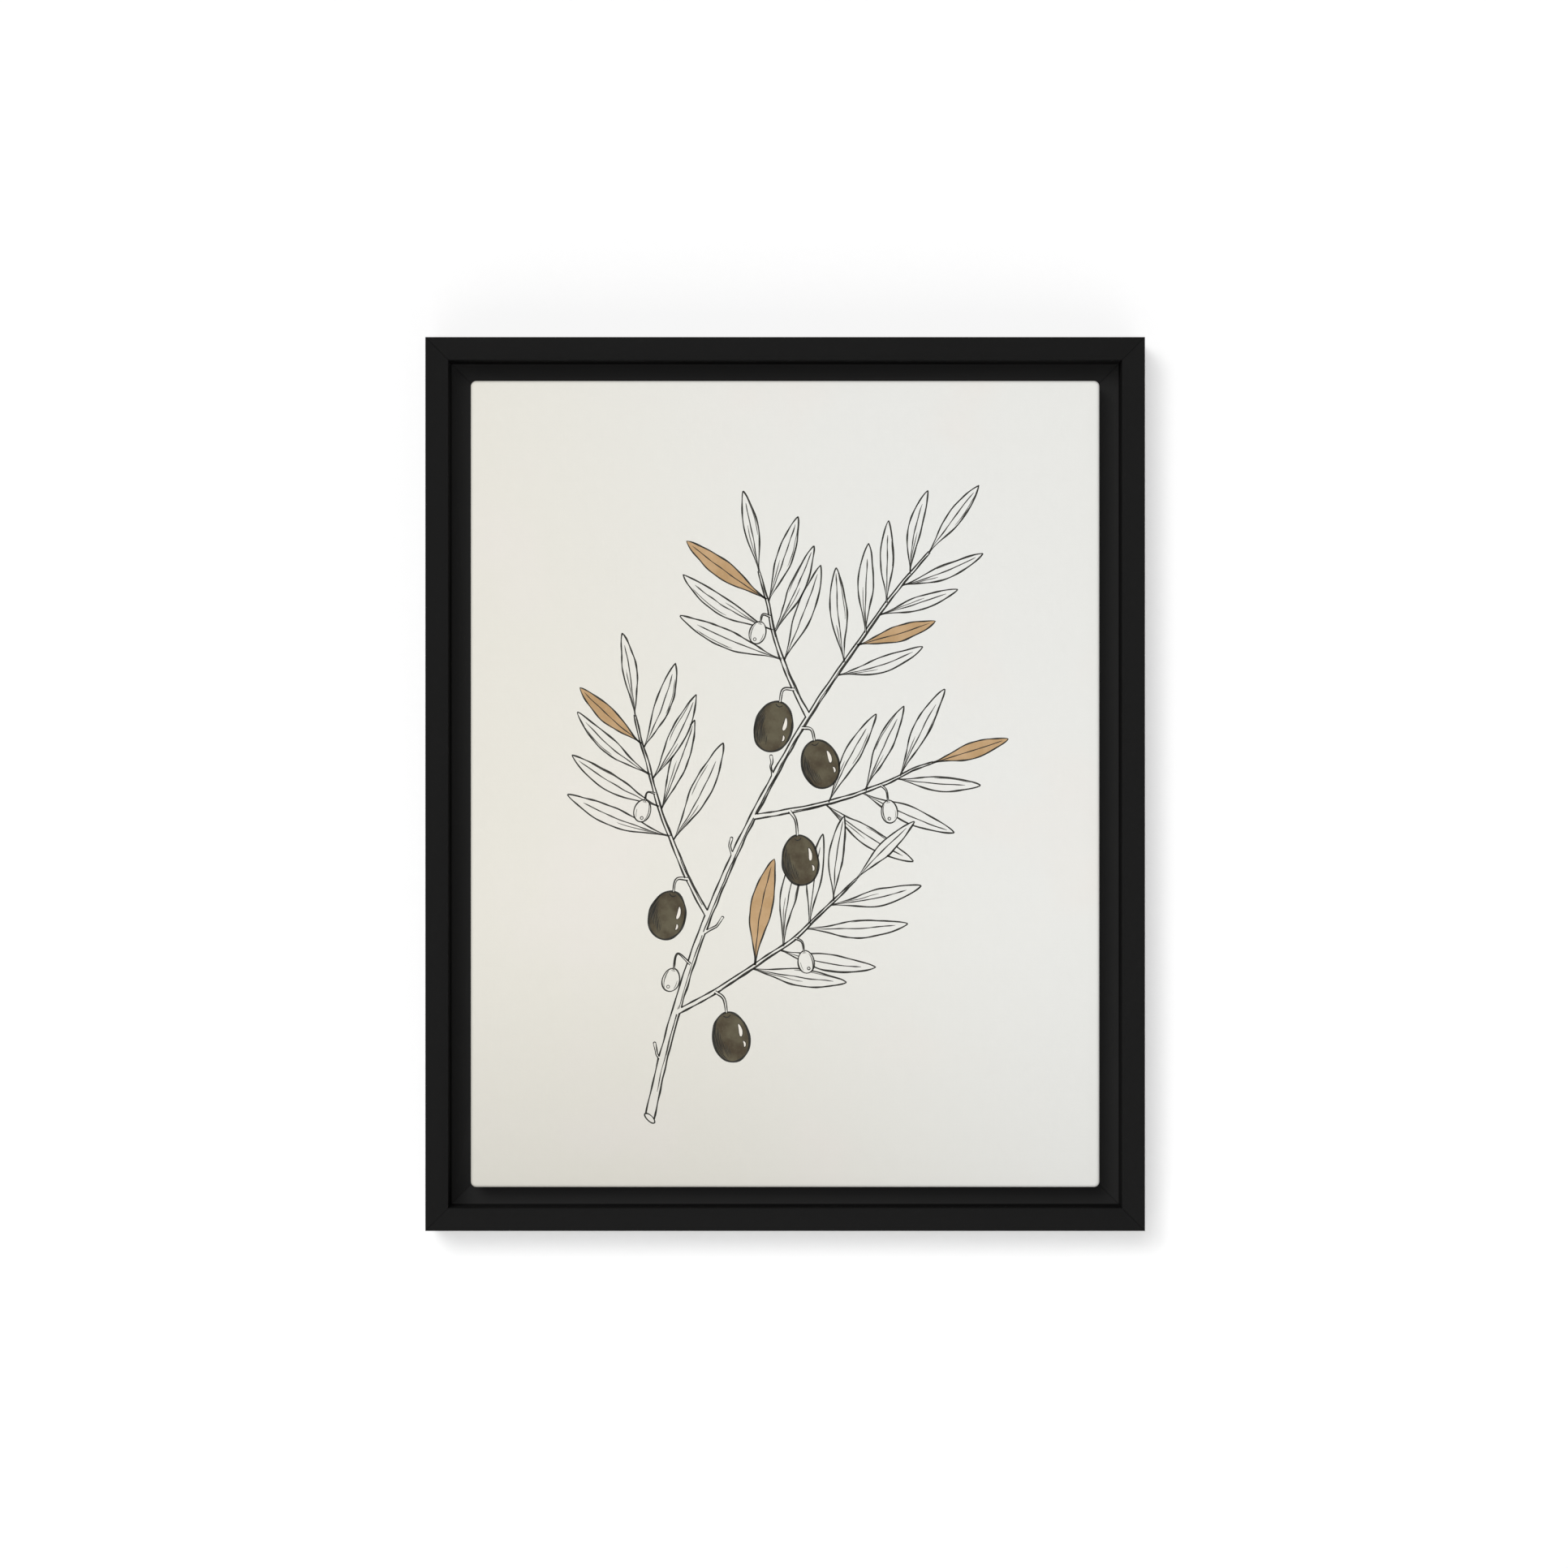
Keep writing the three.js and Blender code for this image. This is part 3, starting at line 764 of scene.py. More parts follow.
def drawn(line, width, shade=0.0, taper=(0.7, 0.4), ramp=3):
    """A pen stroke along a line: its points, half its width and how faint it is, at each point.

    The hand wavers by about a tenth of a millimetre and presses unevenly. The pressure starts at one share of
    the width, taper, is full after ramp, and falls to another share over the last 3 mm."""
    line = resampled(line)
    count = len(line)
    line = line + across_line(line) * unsteady(count, 14, min(0.16, count * STEP / 60))[:, None]
    run = np.arange(count) * STEP
    start = smoothstep(run, -1, ramp) * (1 - taper[0]) + taper[0]
    end = smoothstep(run[::-1], -1, 3) * (1 - taper[1]) + taper[1]
    half = width / 2 * (1 + unsteady(count, 9, 0.3)) * start * end
    return line, half, np.full(count, shade) + unsteady(count, 6, 0.12)


shapes = []  # each has an outline, a level (higher lies in front) and its strokes
tan_washes, olive_washes, shines = [], [], []  # each has a middle line and half its width

# As shares: a glint's place along a fruit and across it, its length and breadth, and how full its far end is.
GLINTS = [(-0.2, 0.54, 0.26, 0.09, 0.3), (0.36, 0.62, 0.12, 0.05, 0)]


def draw(outline, level, strokes, kind):
    """Adds a shape to the drawing."""
    shapes.append({"outline": outline, "level": level, "strokes": strokes, "kind": kind})


def twig(knots, widths, level=1, shading=0, rounded=True, pen=0.7):
    """Wood: a tapered band along a spline, drawn as its two edges, with a half circle round its far end.

    Widths are spread evenly along it. Shading is how many fainter lines run down its right side. Returns the
    spline."""
    line = spline(knots)
    s = np.linspace(0, 1, len(line))
    half = np.interp(s, np.linspace(0, 1, len(widths)), widths)[:, None] / 2
    off = across_line(line)
    left, right = line + off * half, line - off * half
    strokes = [drawn(left, pen), drawn(right, pen * 1.1)]
    if rounded:
        bend = np.linspace(0, np.pi, 12)[:, None]
        ahead = np.array([off[-1, 1], -off[-1, 0]])
        end = line[-1] + half[-1] * (np.cos(bend) * off[-1] + np.sin(bend) * ahead)
        strokes.append(drawn(end, pen, 0, (1, 1)))
    for _ in range(shading):
        start = rng.uniform(0.02, 0.75)
        part = slice(int(start * len(line)), int((start + rng.uniform(0.1, 0.25)) * len(line)))
        strokes.append(drawn((line - off * half * rng.uniform(0.3, 0.55))[part], 0.4, 0.2))
    draw(np.vstack([left, right[::-1]]), level, strokes, "wood")
    return line


def leaf_shape(base, tip, width, bow):
    """A leaf's midrib, half width and distance along it.

    The rib is a parabola from base to tip, bowed sideways by a share of its length. The half width goes as
    the sine of a power of the distance along, so it is widest past the middle. The sine is raised to a power
    that falls from base to tip: the base is drawn in and the tip is blunt."""
    base, tip = np.array(base, float), np.array(tip, float)
    length = np.linalg.norm(tip - base)
    s = np.linspace(0, 1, int(length / STEP))[:, None]
    side = np.array([base[1] - tip[1], tip[0] - base[0]])
    rib = base + (tip - base) * s + side * (4 * bow * s * (1 - s))
    swell = np.sin(np.pi * s[:, 0] ** 1.16) ** (1.4 - 0.62 * smoothstep(s[:, 0], 0.3, 1))
    return rib, np.maximum(width / 2 * swell, 0.24 * (1 - s[:, 0])), s[:, 0]


def leaf(base, tip, width, bow, level):
    """An olive leaf: two long edges, a thinner midrib, and a few faint second lines inside one edge."""
    rib, half, s = leaf_shape(base, tip, width, bow)
    off = across_line(rib)
    lean = rng.uniform(-0.12, 0.12)
    left = rib + off * (half * (1 + lean))[:, None]
    right = rib - off * (half * (1 - lean))[:, None]
    strokes = [drawn(left, 0.66, 0.04, (0.5, 0.8), 12), drawn(right, 0.72, 0.04, (0.5, 0.8), 12)]
    reach = slice(int(0.03 * len(s)), int(rng.uniform(0.82, 0.95) * len(s)))
    strokes.append(drawn(rib[reach], 0.52, 0.1, (0.4, 0.2), 12))
    inner = rng.choice([-1, 1])
    for share, first, last, faint in ((0.8, 0.45, 0.96, 0.4), (0.42, 0.05, 0.6, 0.35)):
        if rng.random() < 0.72:
            part = slice(int(first * len(s)), int((last - rng.uniform(0, 0.2)) * len(s)))
            line = rib + off * (inner * share * half)[:, None]
            strokes.append(drawn(line[part], 0.38, faint, (0.3, 0.2)))
            inner = -inner
    draw(np.vstack([left, right[::-1]]), level, strokes, "leaf")


def tan_leaf(base, tip, width, bow, level):
    """A leaf with a brown wash, which is a little out of register: its edges and a dark midrib."""
    rib, half, s = leaf_shape(base, tip, width, bow)
    off = across_line(rib)
    left, right = rib + off * half[:, None], rib - off * half[:, None]
    strokes = [drawn(left, 0.62, ramp=8), drawn(right, 0.68, ramp=8)]
    strokes.append(drawn(rib[: int(0.93 * len(s))], 0.46, 0.0, (0.6, 0.2)))
    draw(np.vstack([left, right[::-1]]), level, strokes, "leaf")
    tan_washes.append((rib + off * REGISTER, half * (1 + unsteady(len(s), 11, 0.05)) + 0.04))


def egg(place, length, width, angle):
    """A fruit's frame: a function that takes points from its own axes to the drawing.

    They are given along and across it as shares of its half sizes. It is a little fuller at the far end."""
    turn = math.radians(angle)
    along = np.array([math.cos(turn), math.sin(turn)])
    side = np.array([-along[1], along[0]])

    def to_drawing(u, v):
        u, v = np.broadcast_arrays(np.asarray(u, float), np.asarray(v, float))
        full = 1 + 0.05 * u
        return np.array(place) + np.outer(u * length / 2, along) + np.outer(v * full * width / 2, side)

    return to_drawing


def ripe_olive(place, length, width, angle, lit):
    """A dark fruit with its wash and glints. Its stalk end is at the back of its long axis.

    Lit says which side the light is on. The shading is lines of longitude, at fixed shares of the width."""
    at = egg(place, length, width, angle)
    round_ = np.linspace(-np.pi, np.pi, 200)
    rim = at(np.cos(round_), np.sin(round_))
    strokes = [drawn(rim, 0.86, 0.0, (1, 1))]

    def meridian(start, end, share, pen):
        u = np.linspace(start, end, 60)
        strokes.append(drawn(at(u, -lit * share * np.sqrt(1 - u * u)), pen, 0.0, (0.3, 0.3)))

    for k in range(5):
        start, end = -0.72 + 0.1 * k + rng.uniform(0, 0.1), rng.uniform(0.45, 0.88)
        meridian(start, end, 0.93 - 0.085 * k, rng.uniform(0.4, 0.56))
    for k in range(4):
        meridian(0.02 + 0.12 * k, rng.uniform(0.66, 0.8), 0.5 - 0.09 * k, rng.uniform(0.32, 0.44))
    meridian(-0.35, 0.5, -0.95, 0.34)
    u = np.linspace(-1, 1, 30)
    strokes.append(drawn(at(-0.88 + 0.08 * (1 - u * u), u * 0.2), 0.6, 0.0, (0.6, 0.6)))
    for along, across, long, broad, fuller in GLINTS:
        s = np.linspace(-1, 1, 40)
        rib = at(along + long * s, lit * (across + 0.05 * (1 - s * s)))
        half = broad * width / 2 * np.sqrt(np.maximum(1 - s * s, 0)) * (1 + fuller * s) + 0.02
        shines.append((rib, half))
        off = across_line(rib) * (half + 0.1)[:, None]
        strokes.append(drawn(np.vstack([rib + off, (rib - off)[::-1], (rib + off)[:1]]), 0.3, 0.0, (1, 1)))
    draw(rim, 3, strokes, "olive")
    u = np.sin(np.linspace(-np.pi / 2, np.pi / 2, 60))
    half = width / 2 * np.sqrt(np.maximum(1 - u * u, 0)) * (1 + 0.05 * u) + 0.02
    olive_washes.append((at(u, 0 * u), half))


def green_olive(place, length, width, angle):
    """An unripe fruit: one thin line round it, a faint line down one side and a small ring at its far end."""
    at = egg(place, length, width, angle)
    round_ = np.linspace(-np.pi, np.pi, 120)
    rim = at(np.cos(round_), np.sin(round_))
    u = np.linspace(-0.7, 0.75, 40)
    strokes = [drawn(rim, 0.58, 0.05, (1, 1))]
    side = rng.choice([-1, 1])
    strokes.append(drawn(at(u, side * 0.78 * np.sqrt(1 - u * u)), 0.42, 0.15, (0.4, 0.4)))
    short = u * 0.5 + 0.3
    strokes.append(drawn(at(short, -side * 0.7 * np.sqrt(1 - short ** 2)), 0.34, 0.25, (0.4, 0.4)))
    ring = at(0.62 + 0.13 * np.cos(round_), 0.15 * side + 0.17 * np.sin(round_))
    strokes.append(drawn(ring, 0.38, 0.0, (1, 1)))
    dent = at(-0.84 + 0.05 * np.cos(round_ / 3), 0.3 * np.sin(round_ / 3))
    strokes.append(drawn(dent, 0.32, 0.0, (0.6, 0.6)))
    draw(rim, 3, strokes, "olive")


def arc(start, heading, length, bend, knots=9):
    """Knots along slightly crooked wood that leaves a point at a heading and turns by bend, in degrees."""
    turn = np.radians(heading + bend * np.linspace(0, 1, knots))
    steps = np.column_stack([np.cos(turn), np.sin(turn)])[1:] * length / (knots - 1)
    crooked = rng.uniform(-0.9, 0.9, (knots, 2)) * np.linspace(0, 1, knots)[:, None]
    return np.array(start) + np.vstack([[0, 0], np.cumsum(steps, axis=0)]) + crooked


def place_on(line, share):
    """The point at a share of a line's length, and the heading there in degrees."""
    k = min(int(share * (len(line) - 1)), len(line) - 4)
    ahead = line[k + 3] - line[k]
    return line[k], math.degrees(math.atan2(ahead[1], ahead[0]))


def ray(heading):
    """The unit vector at a heading in degrees."""
    return np.array([math.cos(math.radians(heading)), math.sin(math.radians(heading))])


def leafy(line, first, pairs, longest, washed):
    """Leaves in opposite pairs, as on an olive, from a share of a twig's length on, and one at its end.

    They close up and shorten towards it. Washed is the number of the brown leaf, which lies in front."""
    tips = [(1.0, 0)] + [(first + (1 - first) * k / pairs, side) for k in range(pairs) for side in (-1, 1)]
    for number, (share, side) in enumerate(tips):
        point, heading = place_on(line, share + side * 0.012)
        opening = side * (56 - 24 * share) + rng.uniform(-5, 5)
        length = longest * (1.04 - 0.26 * share) * rng.uniform(0.9, 1.06)
        tip = point + length * ray(heading + opening)
        bow, width = side * 0.03 + rng.uniform(-0.025, 0.025), length * rng.uniform(0.155, 0.18)
        if number == washed:
            tan_leaf(point, tip, width * 1.12, bow, 2.5)
        else:
            leaf(point, tip, width, bow, (0.5 if side < 0 else 1.2) + 0.001 * len(shapes))


def hang(line, share, side, drop, length, width, ripe):
    """A fruit on a stalk that leaves the wood to one side and droops. The light is from the upper right."""
    point, heading = place_on(line, share)
    out = ray(heading + side * 68)
    bend, end = point + 0.5 * drop * out, point + drop * (0.66 * out + np.array([0, -0.6]))
    angle = math.degrees(math.atan2(*(end - bend)[::-1]))
    place = end + ray(angle) * (length / 2 - 0.8)
    if ripe:
        lit = 1 if ray(angle + 90) @ (0.5, 0.7) > 0 else -1
        ripe_olive(place, length, width, angle, lit)
    else:
        green_olive(place, length, width, angle)
    thick = 0.85 if ripe else 0.55
    twig((point, bend, end), (thick * 1.4, thick, thick), level=4, rounded=False, pen=0.52)


# The wood: one stem that leans over to the right, cut off at a slant, with four bare spurs.
STEM_FOOT, STEM_HEADING = np.array([-60.0, -148.0]), 80
STEM_WIDTHS = (4.2, 3.6, 3.1, 2.7, 2.3, 1.8, 1.4, 1.0)
stem = twig(arc(STEM_FOOT, STEM_HEADING, 284, -30, 12), STEM_WIDTHS, shading=8, rounded=False)
slant, square = ray(STEM_HEADING - 125), ray(STEM_HEADING - 35)
round_ = np.linspace(0, 2 * np.pi, 60)[:, None]
for long, broad, pen in ((2.9, 1.2, 0.6), (1.2, 0.45, 0.3)):
    ring = STEM_FOOT + long * np.cos(round_) * slant + broad * np.sin(round_) * square
    draw(ring, 2 + 0.1 * pen, [drawn(ring, pen, 0, (1, 1))], "wood")
for share, side, length in ((0.09, 1, 9), (0.3, -1, 12), (0.43, 1, 8), (0.57, 1, 10)):
    point, heading = place_on(stem, share)
    twig(arc(point, heading + side * 48, length, -side * 20, 5), (1.5, 0.8, 0.8, 1.1), pen=0.5)

# Twigs by turns to the right and left, shorter higher up, each with its leaves, one of them brown, and fruit.
for share, side, length, pairs, washed in (
    (0.17, -1, 100, 4, 2), (0.33, 1, 96, 4, 8), (0.5, -1, 84, 3, 0), (0.68, 1, 68, 3, 6),
):
    point, heading = place_on(stem, share)
    knots = arc(point, heading + side * (44 + 26 * share), length, -side * 20)
    side_twig = twig(knots, (2.1, 1.8, 1.5, 1.2, 0.8), shading=3, rounded=False)
    leafy(side_twig, 0.4, pairs, 50, washed)
    hang(side_twig, 0.2, side, 10, rng.uniform(20.5, 23), rng.uniform(15.6, 17.4), True)
    hang(side_twig, 0.4 + 0.9 / pairs, side, 7, 10, 7.2, False)
leafy(stem, 0.77, 4, 48, 3)
hang(stem, 0.66, -1, 9, 21.5, 16.4, True)
hang(stem, 0.25, 1, 15, 10.4, 7.6, False)


def inside(points, outline):
    """Whether each point is in an outline: a ray to its right crosses the outline an odd number of times."""
    a, b = outline, np.roll(outline, -1, axis=0)
    x, y = points[:, :1], points[:, 1:]
    crosses = (a[:, 1] > y) != (b[:, 1] > y)
    rise = np.where(b[:, 1] == a[:, 1], 1e-12, b[:, 1] - a[:, 1])
    where = a[:, 0] + (y - a[:, 1]) * (b[:, 0] - a[:, 0]) / rise
    return np.count_nonzero(crosses & (x < where), axis=1) % 2 == 1


def in_sight(stroke, own):
    """The stretches of a stroke that no other shape at its level or above hides."""
    line = stroke[0]
    hidden = np.zeros(len(line), bool)
    for other in shapes:
        rim = other["outline"]
        near = (line.min(0) < rim.max(0)).all() and (line.max(0) > rim.min(0)).all()
        if other is not own and other["level"] >= own["level"] and near:
            hidden |= inside(line, rim[::3])
    hidden[1:-1] &= hidden[2:] & hidden[:-2]  # each line runs on a little under what hides it
    ends = np.flatnonzero(np.diff(np.concatenate([[True], hidden, [True]]).astype(int)))
    return [tuple(part[a:b] for part in stroke) for a, b in zip(ends[::2], ends[1::2]) if b - a > 3]


def ribbon(line, half, proud, sunk=0.02, thin=3):
    """A flat ribbon of ink: a low trapezium carried along a line, from sunk in the cloth to proud of it.

    Only every few points of the line are kept. Returns points, faces all round, and which it kept."""
    keep = np.unique(np.linspace(0, len(line) - 1, max(2, len(line) // thin + 1)).astype(int))
    off = across_line(line)[keep]
    line, half = line[keep], half[keep]
    top = np.maximum(half - 0.03, half * 0.4)
    reach = np.stack([half, top, -top, -half], axis=1)
    depth = np.array([sunk, -proud, -proud, sunk])
    flat = line[:, None] + off[:, None] * reach[:, :, None]
    y = np.broadcast_to(depth, reach.shape)
    points = np.stack([flat[:, :, 0], y, flat[:, :, 1]], axis=2).reshape(-1, 3) * MM
    last = 4 * (len(line) - 1)
    faces = grid_faces(len(line), 4).tolist() + [[3, 2, 1, 0], [last, last + 1, last + 2, last + 3]]
    return points + [centre[0], front_y, centre[2]], faces, keep


def print_finish(name, colour_of, roughness):
    """Ink on the same weave as the cloth. Colour_of makes the colour from the finish and the place."""
    finish = Finish(name)
    place, (x, _, z) = finish.at()
    height = weave(x + -centre[0], z + -centre[2])
    return finish.surface(
        base_color=colour_of(finish, place), roughness=roughness, specular_ior_level=0.2,
        normal=finish.bump(height, THREAD_RELIEF, 0.5),
    )


def ink_colour(finish, place):
    """Near-black where the pen pressed and grey where the line is faint, broken up by the cloth's threads."""
    faint = finish.add("ShaderNodeAttribute", {"attribute_name": "faint"}, out="Fac")
    grain = finish.noise(place, 2400, 2)
    return finish.mix(faint + (grain - 0.5) * 0.35, shown(42, 41, 36), shown(132, 130, 124))


def ink_piece(name, kind, material):
    """All the visible strokes of one kind of shape as one piece, with each point's faintness on it."""
    parts, faintness = [], []
    for own in [shape for shape in shapes if shape["kind"] == kind]:
        for stroke in own["strokes"]:
            for line, half, faint in in_sight(stroke, own):
                points, faces, keep = ribbon(line, half, INK_PROUD, thin=1 if len(line) < 90 else 3)
                parts.append((points, faces))
                faintness.append(np.repeat(faint[keep], 4))
    points, faces = joined(parts)
    mesh = bpy.data.meshes.new(name)
    mesh.from_pydata(points.tolist(), [], faces)
    mesh.attributes.new("faint", "FLOAT", "POINT").data.foreach_set("value", np.concatenate(faintness))
    turn_outwards(mesh)
    return place_piece(name, mesh, material)


def wash_piece(name, washes, material, proud):
    """Patches of wash as one piece, each a ribbon as wide as its shape."""
    parts = [ribbon(line, half, proud, thin=2)[:2] for line, half in washes]
    points, faces = joined(parts)
    return make_piece(name, points, faces, material, smooth=False)


def tan_colour(finish, place):
    """Brown wash: streaks along the brush and pools that dried darker."""
    pool = finish.noise(place, 90, 3)
    fleck = finish.noise(place, 700, 2)
    colour = finish.mix(pool.smooth(0.3, 0.7), shown(200, 167, 128), shown(184, 150, 108))
    return finish.mix(fleck.smooth(0.55, 0.9) * 0.4, colour, shown(214, 184, 148))


def olive_colour(finish, place):
    """Dark wash, mottled between green-brown and grey-brown."""
    pool = finish.noise(place, 130, 3)
    fleck = finish.noise(place, 900, 2)
    colour = finish.mix(pool.smooth(0.3, 0.7), shown(72, 62, 47), shown(98, 92, 73))
    return finish.mix(fleck.smooth(0.5, 0.9) * 0.35, colour, shown(112, 105, 88))


def glint_colour(finish, place):
    """Bare cloth left white, a little soiled."""
    return finish.mix(finish.noise(place, 300, 2), shown(232, 225, 212), shown(240, 235, 226))


ink = print_finish("dark_ink", ink_colour, 0.6)
drawing = [
    ink_piece("ink_of_stem_and_twigs", "wood", ink),
    ink_piece("ink_of_leaves", "leaf", ink),
    ink_piece("ink_of_olives", "olive", ink),
    wash_piece("tan_leaf_wash", tan_washes, print_finish("tan_wash", tan_colour, 0.75), WASH_PROUD),
    wash_piece("olive_wash", olive_washes, print_finish("olive_wash", olive_colour, 0.7), WASH_PROUD),
    wash_piece("olive_glints", shines, print_finish("glint_white", glint_colour, 0.8), GLINT_PROUD),
]


# ---- Staples: flat steel wire, shot through the turned-in cloth into the bars ----
# Each has a straight crown that lies on the cloth and two legs in the wood. Wire 1.2 mm by 0.6 mm.

def plated(name, pale, dark, roughness):
    """Plated steel: a cloudy plating, fine scratches both ways, and duller spots."""
    finish = Finish(name)
    place, _ = finish.at()
    cloud = finish.noise(place, 500, 3)
    scratch = finish.noise(finish.stretched(place, (1, 1, 0.04)), 9000, 1)
    return finish.surface(
        base_color=finish.mix(cloud, pale, dark), metallic=1.0,
        roughness=cloud * 0.25 + roughness, normal=finish.bump(scratch, 0.00002, 0.4),
    )


zinc = plated("zinc_plating", (0.62, 0.63, 0.64, 1), (0.42, 0.43, 0.45, 1), 0.28)


def staple(name):
    """A rounded strip bent into a flat U: a superellipse section carried along crown and legs."""
    low, high = np.array(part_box(name))
    size = high - low
    upright = size[2] > size[0]
    span, deep = max(size[0], size[2]), size[1]
    wire, broad, bend = 0.6 * MM, min(size[0], size[2]), 0.75 * MM
    x = span / 2 - wire / 2
    quarter = np.linspace(0, np.pi / 2, 7)
    top = high[1] - wire / 2
    corner = np.column_stack([x - bend + bend * np.sin(quarter), top - bend + bend * np.cos(quarter)])
    leg = np.column_stack([np.full(4, x), np.linspace(top - bend, high[1] - deep + 0.05 * MM, 5)[1:]])
    right = np.vstack([corner, leg])
    line = np.vstack([right[::-1] * [-1, 1], right])
    off = across_line(line)
    turn = np.arange(12) / 12 * 2 * np.pi
    through = np.sign(np.cos(turn)) * np.abs(np.cos(turn)) ** 0.5 * wire / 2
    wide = np.sign(np.sin(turn)) * np.abs(np.sin(turn)) ** 0.5 * broad / 2
    flat = line[:, None] + off[:, None] * through[:, None]
    run, y, side = flat[:, :, 0], flat[:, :, 1], np.broadcast_to(wide, flat.shape[:2])
    mid = (low + high) / 2
    across, up = (side, run) if upright else (run, side)
    points = np.stack([mid[0] + across, y, mid[2] + up], axis=2)
    last = 12 * (len(line) - 1)
    faces = grid_faces(len(line), 12).tolist() + [list(range(12)), [last + k for k in range(12)]]
    return make_piece(f"steel_{name}", points, faces, zinc, [name])


for side, count in STAPLES.items():
    for i in range(count):
        staple(f"staple_{side}_{i + 1}")


# ---- Screws: eight, that hold the canvas in the frame through the ledge, two to each bar ----
# Zinc-plated steel wood screws, 16 mm long, with a rolled thread and a countersunk head with a pressed cross.

# In millimetres: the shank's radius, the thread's height and pitch, and the cross's depth at its middle.
SHANK, THREAD_HEIGHT, PITCH, CROSS_DEPTH = 1.3, 0.32, 1.6, 1.7


def screw(name):
    """A turned form whose radius and depth go from the head's middle to the point.

    The head dips by a smooth cross, and on the shank the radius rises and falls along a helix."""
    low, high = np.array(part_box(name))
    mid, head, back = (low + high) / 2, (high[0] - low[0]) / 2 / MM, high[1] / MM
    turn = np.linspace(0, 2 * np.pi, 64, endpoint=False)[None, :]
    r = np.concatenate([
        np.linspace(0, head - 0.25, 18), [head - 0.08, head, head - 0.1], np.linspace(head - 0.35, 1.35, 6),
        np.full(66, SHANK), [1.0, 0.5, 0.0],
    ])
    depth = np.concatenate([
        np.zeros(18), [0.03, 0.15, 0.4], np.linspace(0.6, 2.6, 6), np.linspace(2.9, 13.8, 66),
        [14.5, 15.2, 15.8],
    ])
    r, depth = r[:, None], depth[:, None] * np.ones_like(turn)
    x, z = r * np.cos(turn), r * np.sin(turn)
    slot = [smoothstep(np.abs(a), 0.55, 0.3) * smoothstep(np.abs(b), 2.25, 1.7) for a, b in ((x, z), (z, x))]
    dip = np.maximum(*slot) * (CROSS_DEPTH - 0.45 * np.hypot(x, z)) * (depth < 0.02)
    thread = THREAD_HEIGHT * np.maximum(0, np.cos(depth * 2 * np.pi / PITCH - turn)) ** 3
    thread *= smoothstep(depth, 3.5, 5) * smoothstep(depth, 15, 12.5)
    wide = r + thread
    points = np.stack([wide * np.cos(turn), back - depth - dip, wide * np.sin(turn)], axis=2) * MM
    points[:, :, [0, 2]] += mid[[0, 2]]
    make_piece(f"zinc_{name}", points, grid_faces(*points.shape[:2]), zinc, [name])


for side in STAPLES:
    for i in (1, 2):
        screw(f"canvas_screw_{side}_{i}")


# ---- Corner nails: folded steel driven edge on across each mitre, flush with the back ----
# Two to a corner, thin V-shaped strips of plated steel. The CAD nodes are kept and only get their finish.

def coat(node, material):
    """Gives a kept CAD piece its finish."""
    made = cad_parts[node]
    made.data.materials.clear()
    made.data.materials.append(material)


for side in ("top", "bottom"):
    for i in (1, 2):
        for part in ("wall", "ledge"):
            coat(f"corner_nail_{side}_{i}_{part}", zinc)


# ---- Corner keys: beech wedges, two to a corner, that tighten the canvas ----
# They are sawn with the grain along them and knocked into the bars' slots beside each mitre.

BEECH_PALE, BEECH_DARK = shown(214, 174, 124), shown(180, 133, 84)
for along, names in (("Z", ("top", "bottom")), ("X", ("left", "right"))):
    beech = bare_wood(f"beech_along_{along.lower()}", along, BEECH_PALE, BEECH_DARK, 3200)
    for name in names:
        for i in (1, 2):
            eased(f"corner_key_{name}_{i}", f"beech_key_{name}_{i}", 0.25 * MM, beech)


# ---- Hanger: a strip with a row of notches that rests on a nail in the wall ----
# It is stamped from brass-plated steel, raised in the middle, and held to the top rail by a brad at each end.

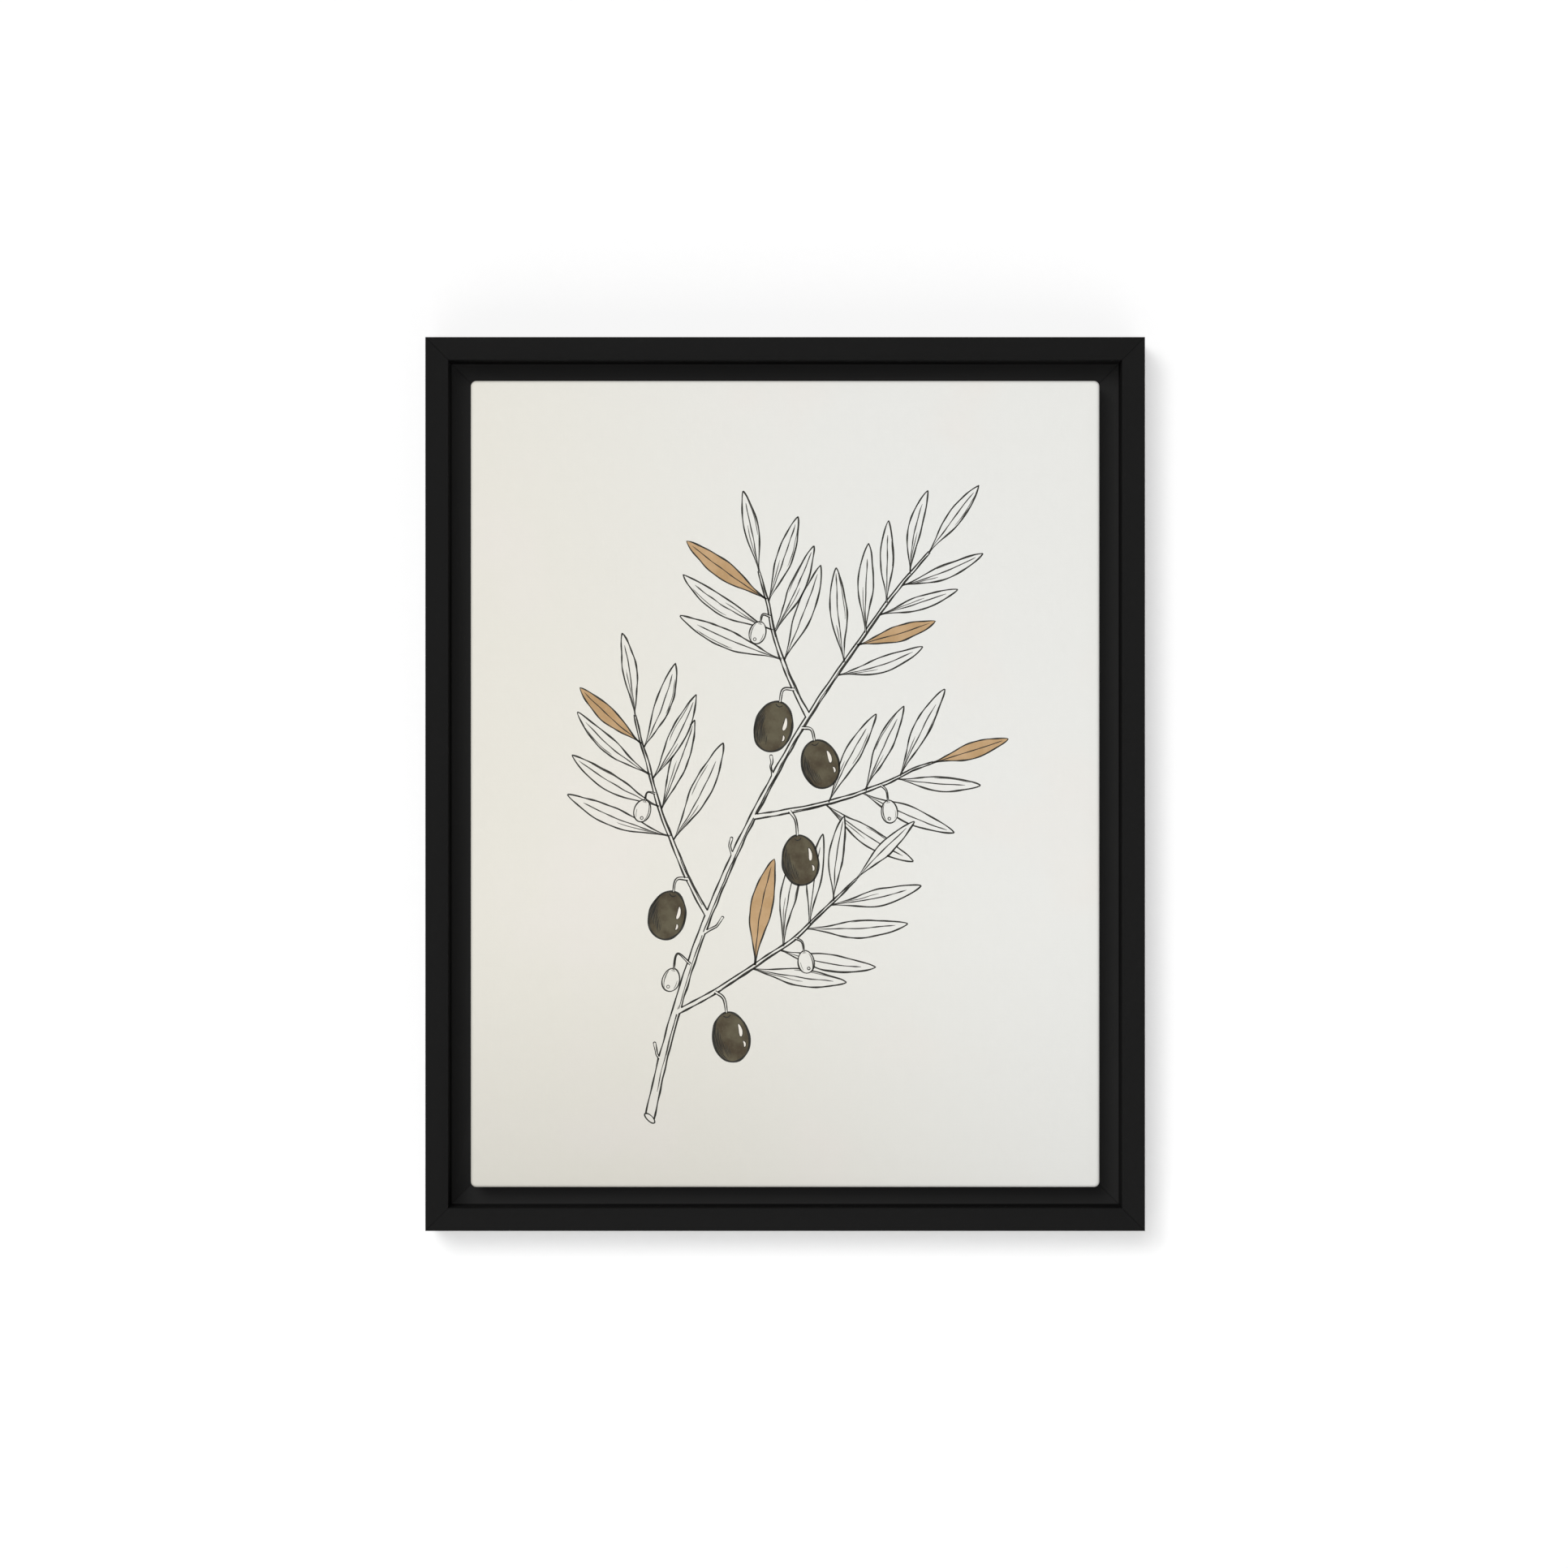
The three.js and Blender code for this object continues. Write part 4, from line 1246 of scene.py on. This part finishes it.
brass = plated("brass_plating", (0.72, 0.52, 0.22, 1), (0.55, 0.38, 0.15, 1), 0.24)
eased("sawtooth_hanger", "brass_hanger", 0.12 * MM, brass)


def turned(name, new_name, profile, sides, material):
    """A form turned about a CAD node's middle, from its radius and distance behind the node's back, in mm."""
    low, high = np.array(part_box(name))
    mid = (low + high) / 2
    r, y = np.array(profile).T * MM
    turn = np.linspace(0, 2 * np.pi, sides, endpoint=False)
    depth = np.broadcast_to((high[1] + y)[:, None], (len(r), sides))
    points = np.stack([mid[0] + np.outer(r, np.cos(turn)), depth, mid[2] + np.outer(r, np.sin(turn))], axis=2)
    make_piece(new_name, points, grid_faces(*points.shape[:2]), material, [name])


# A brad's head is a low dome, with a flat where the hammer met it.
dome = [(2.2 * math.cos(a), 0.8 * math.sin(a) - 0.8) for a in np.linspace(0, math.radians(62), 8)]
brad = [(0, dome[-1][1] + 0.02), *dome[::-1], (2.15, -0.85), (0.8, -0.87), (0.8, -6.4), (0, -7.65)]
for i in (1, 2):
    turned(f"hanger_brad_{i}", f"brass_brad_{i}", brad, 32, brass)


# ---- Wall pads: rubber discs that keep the frame off the wall, one on each back corner ----
# Each is moulded in black rubber, with a rounded rim and a shallow dish, and stuck on.

def moulded_rubber():
    """Black rubber with a fine grit, and paler where dust clings."""
    finish = Finish("moulded_rubber")
    place, _ = finish.at()
    grit = finish.noise(place, 3800, 3)
    dust = finish.noise(place, 240, 2)
    return finish.surface(
        base_color=finish.mix(dust.smooth(0.4, 0.8), (0.018, 0.018, 0.019, 1), (0.045, 0.044, 0.043, 1)),
        roughness=0.7, normal=finish.bump(grit, 0.00005, 0.6),
    )


rubber = moulded_rubber()
lip = [(4.2 + 0.8 * math.sin(a), -0.8 + 0.8 * math.cos(a)) for a in np.linspace(0, math.pi / 2, 7)]
dish = [(0, -0.35), (2.2, -0.35), (2.8, -0.28), (3.3, -0.05), (3.7, 0)]
pad = [*dish, *lip, (5, -2.8), (4.85, -2.95), (0, -2.95)]
for side in ("top", "bottom"):
    for i in (1, 2):
        turned(f"wall_pad_{side}_{i}", f"rubber_pad_{side}_{i}", pad, 56, rubber)
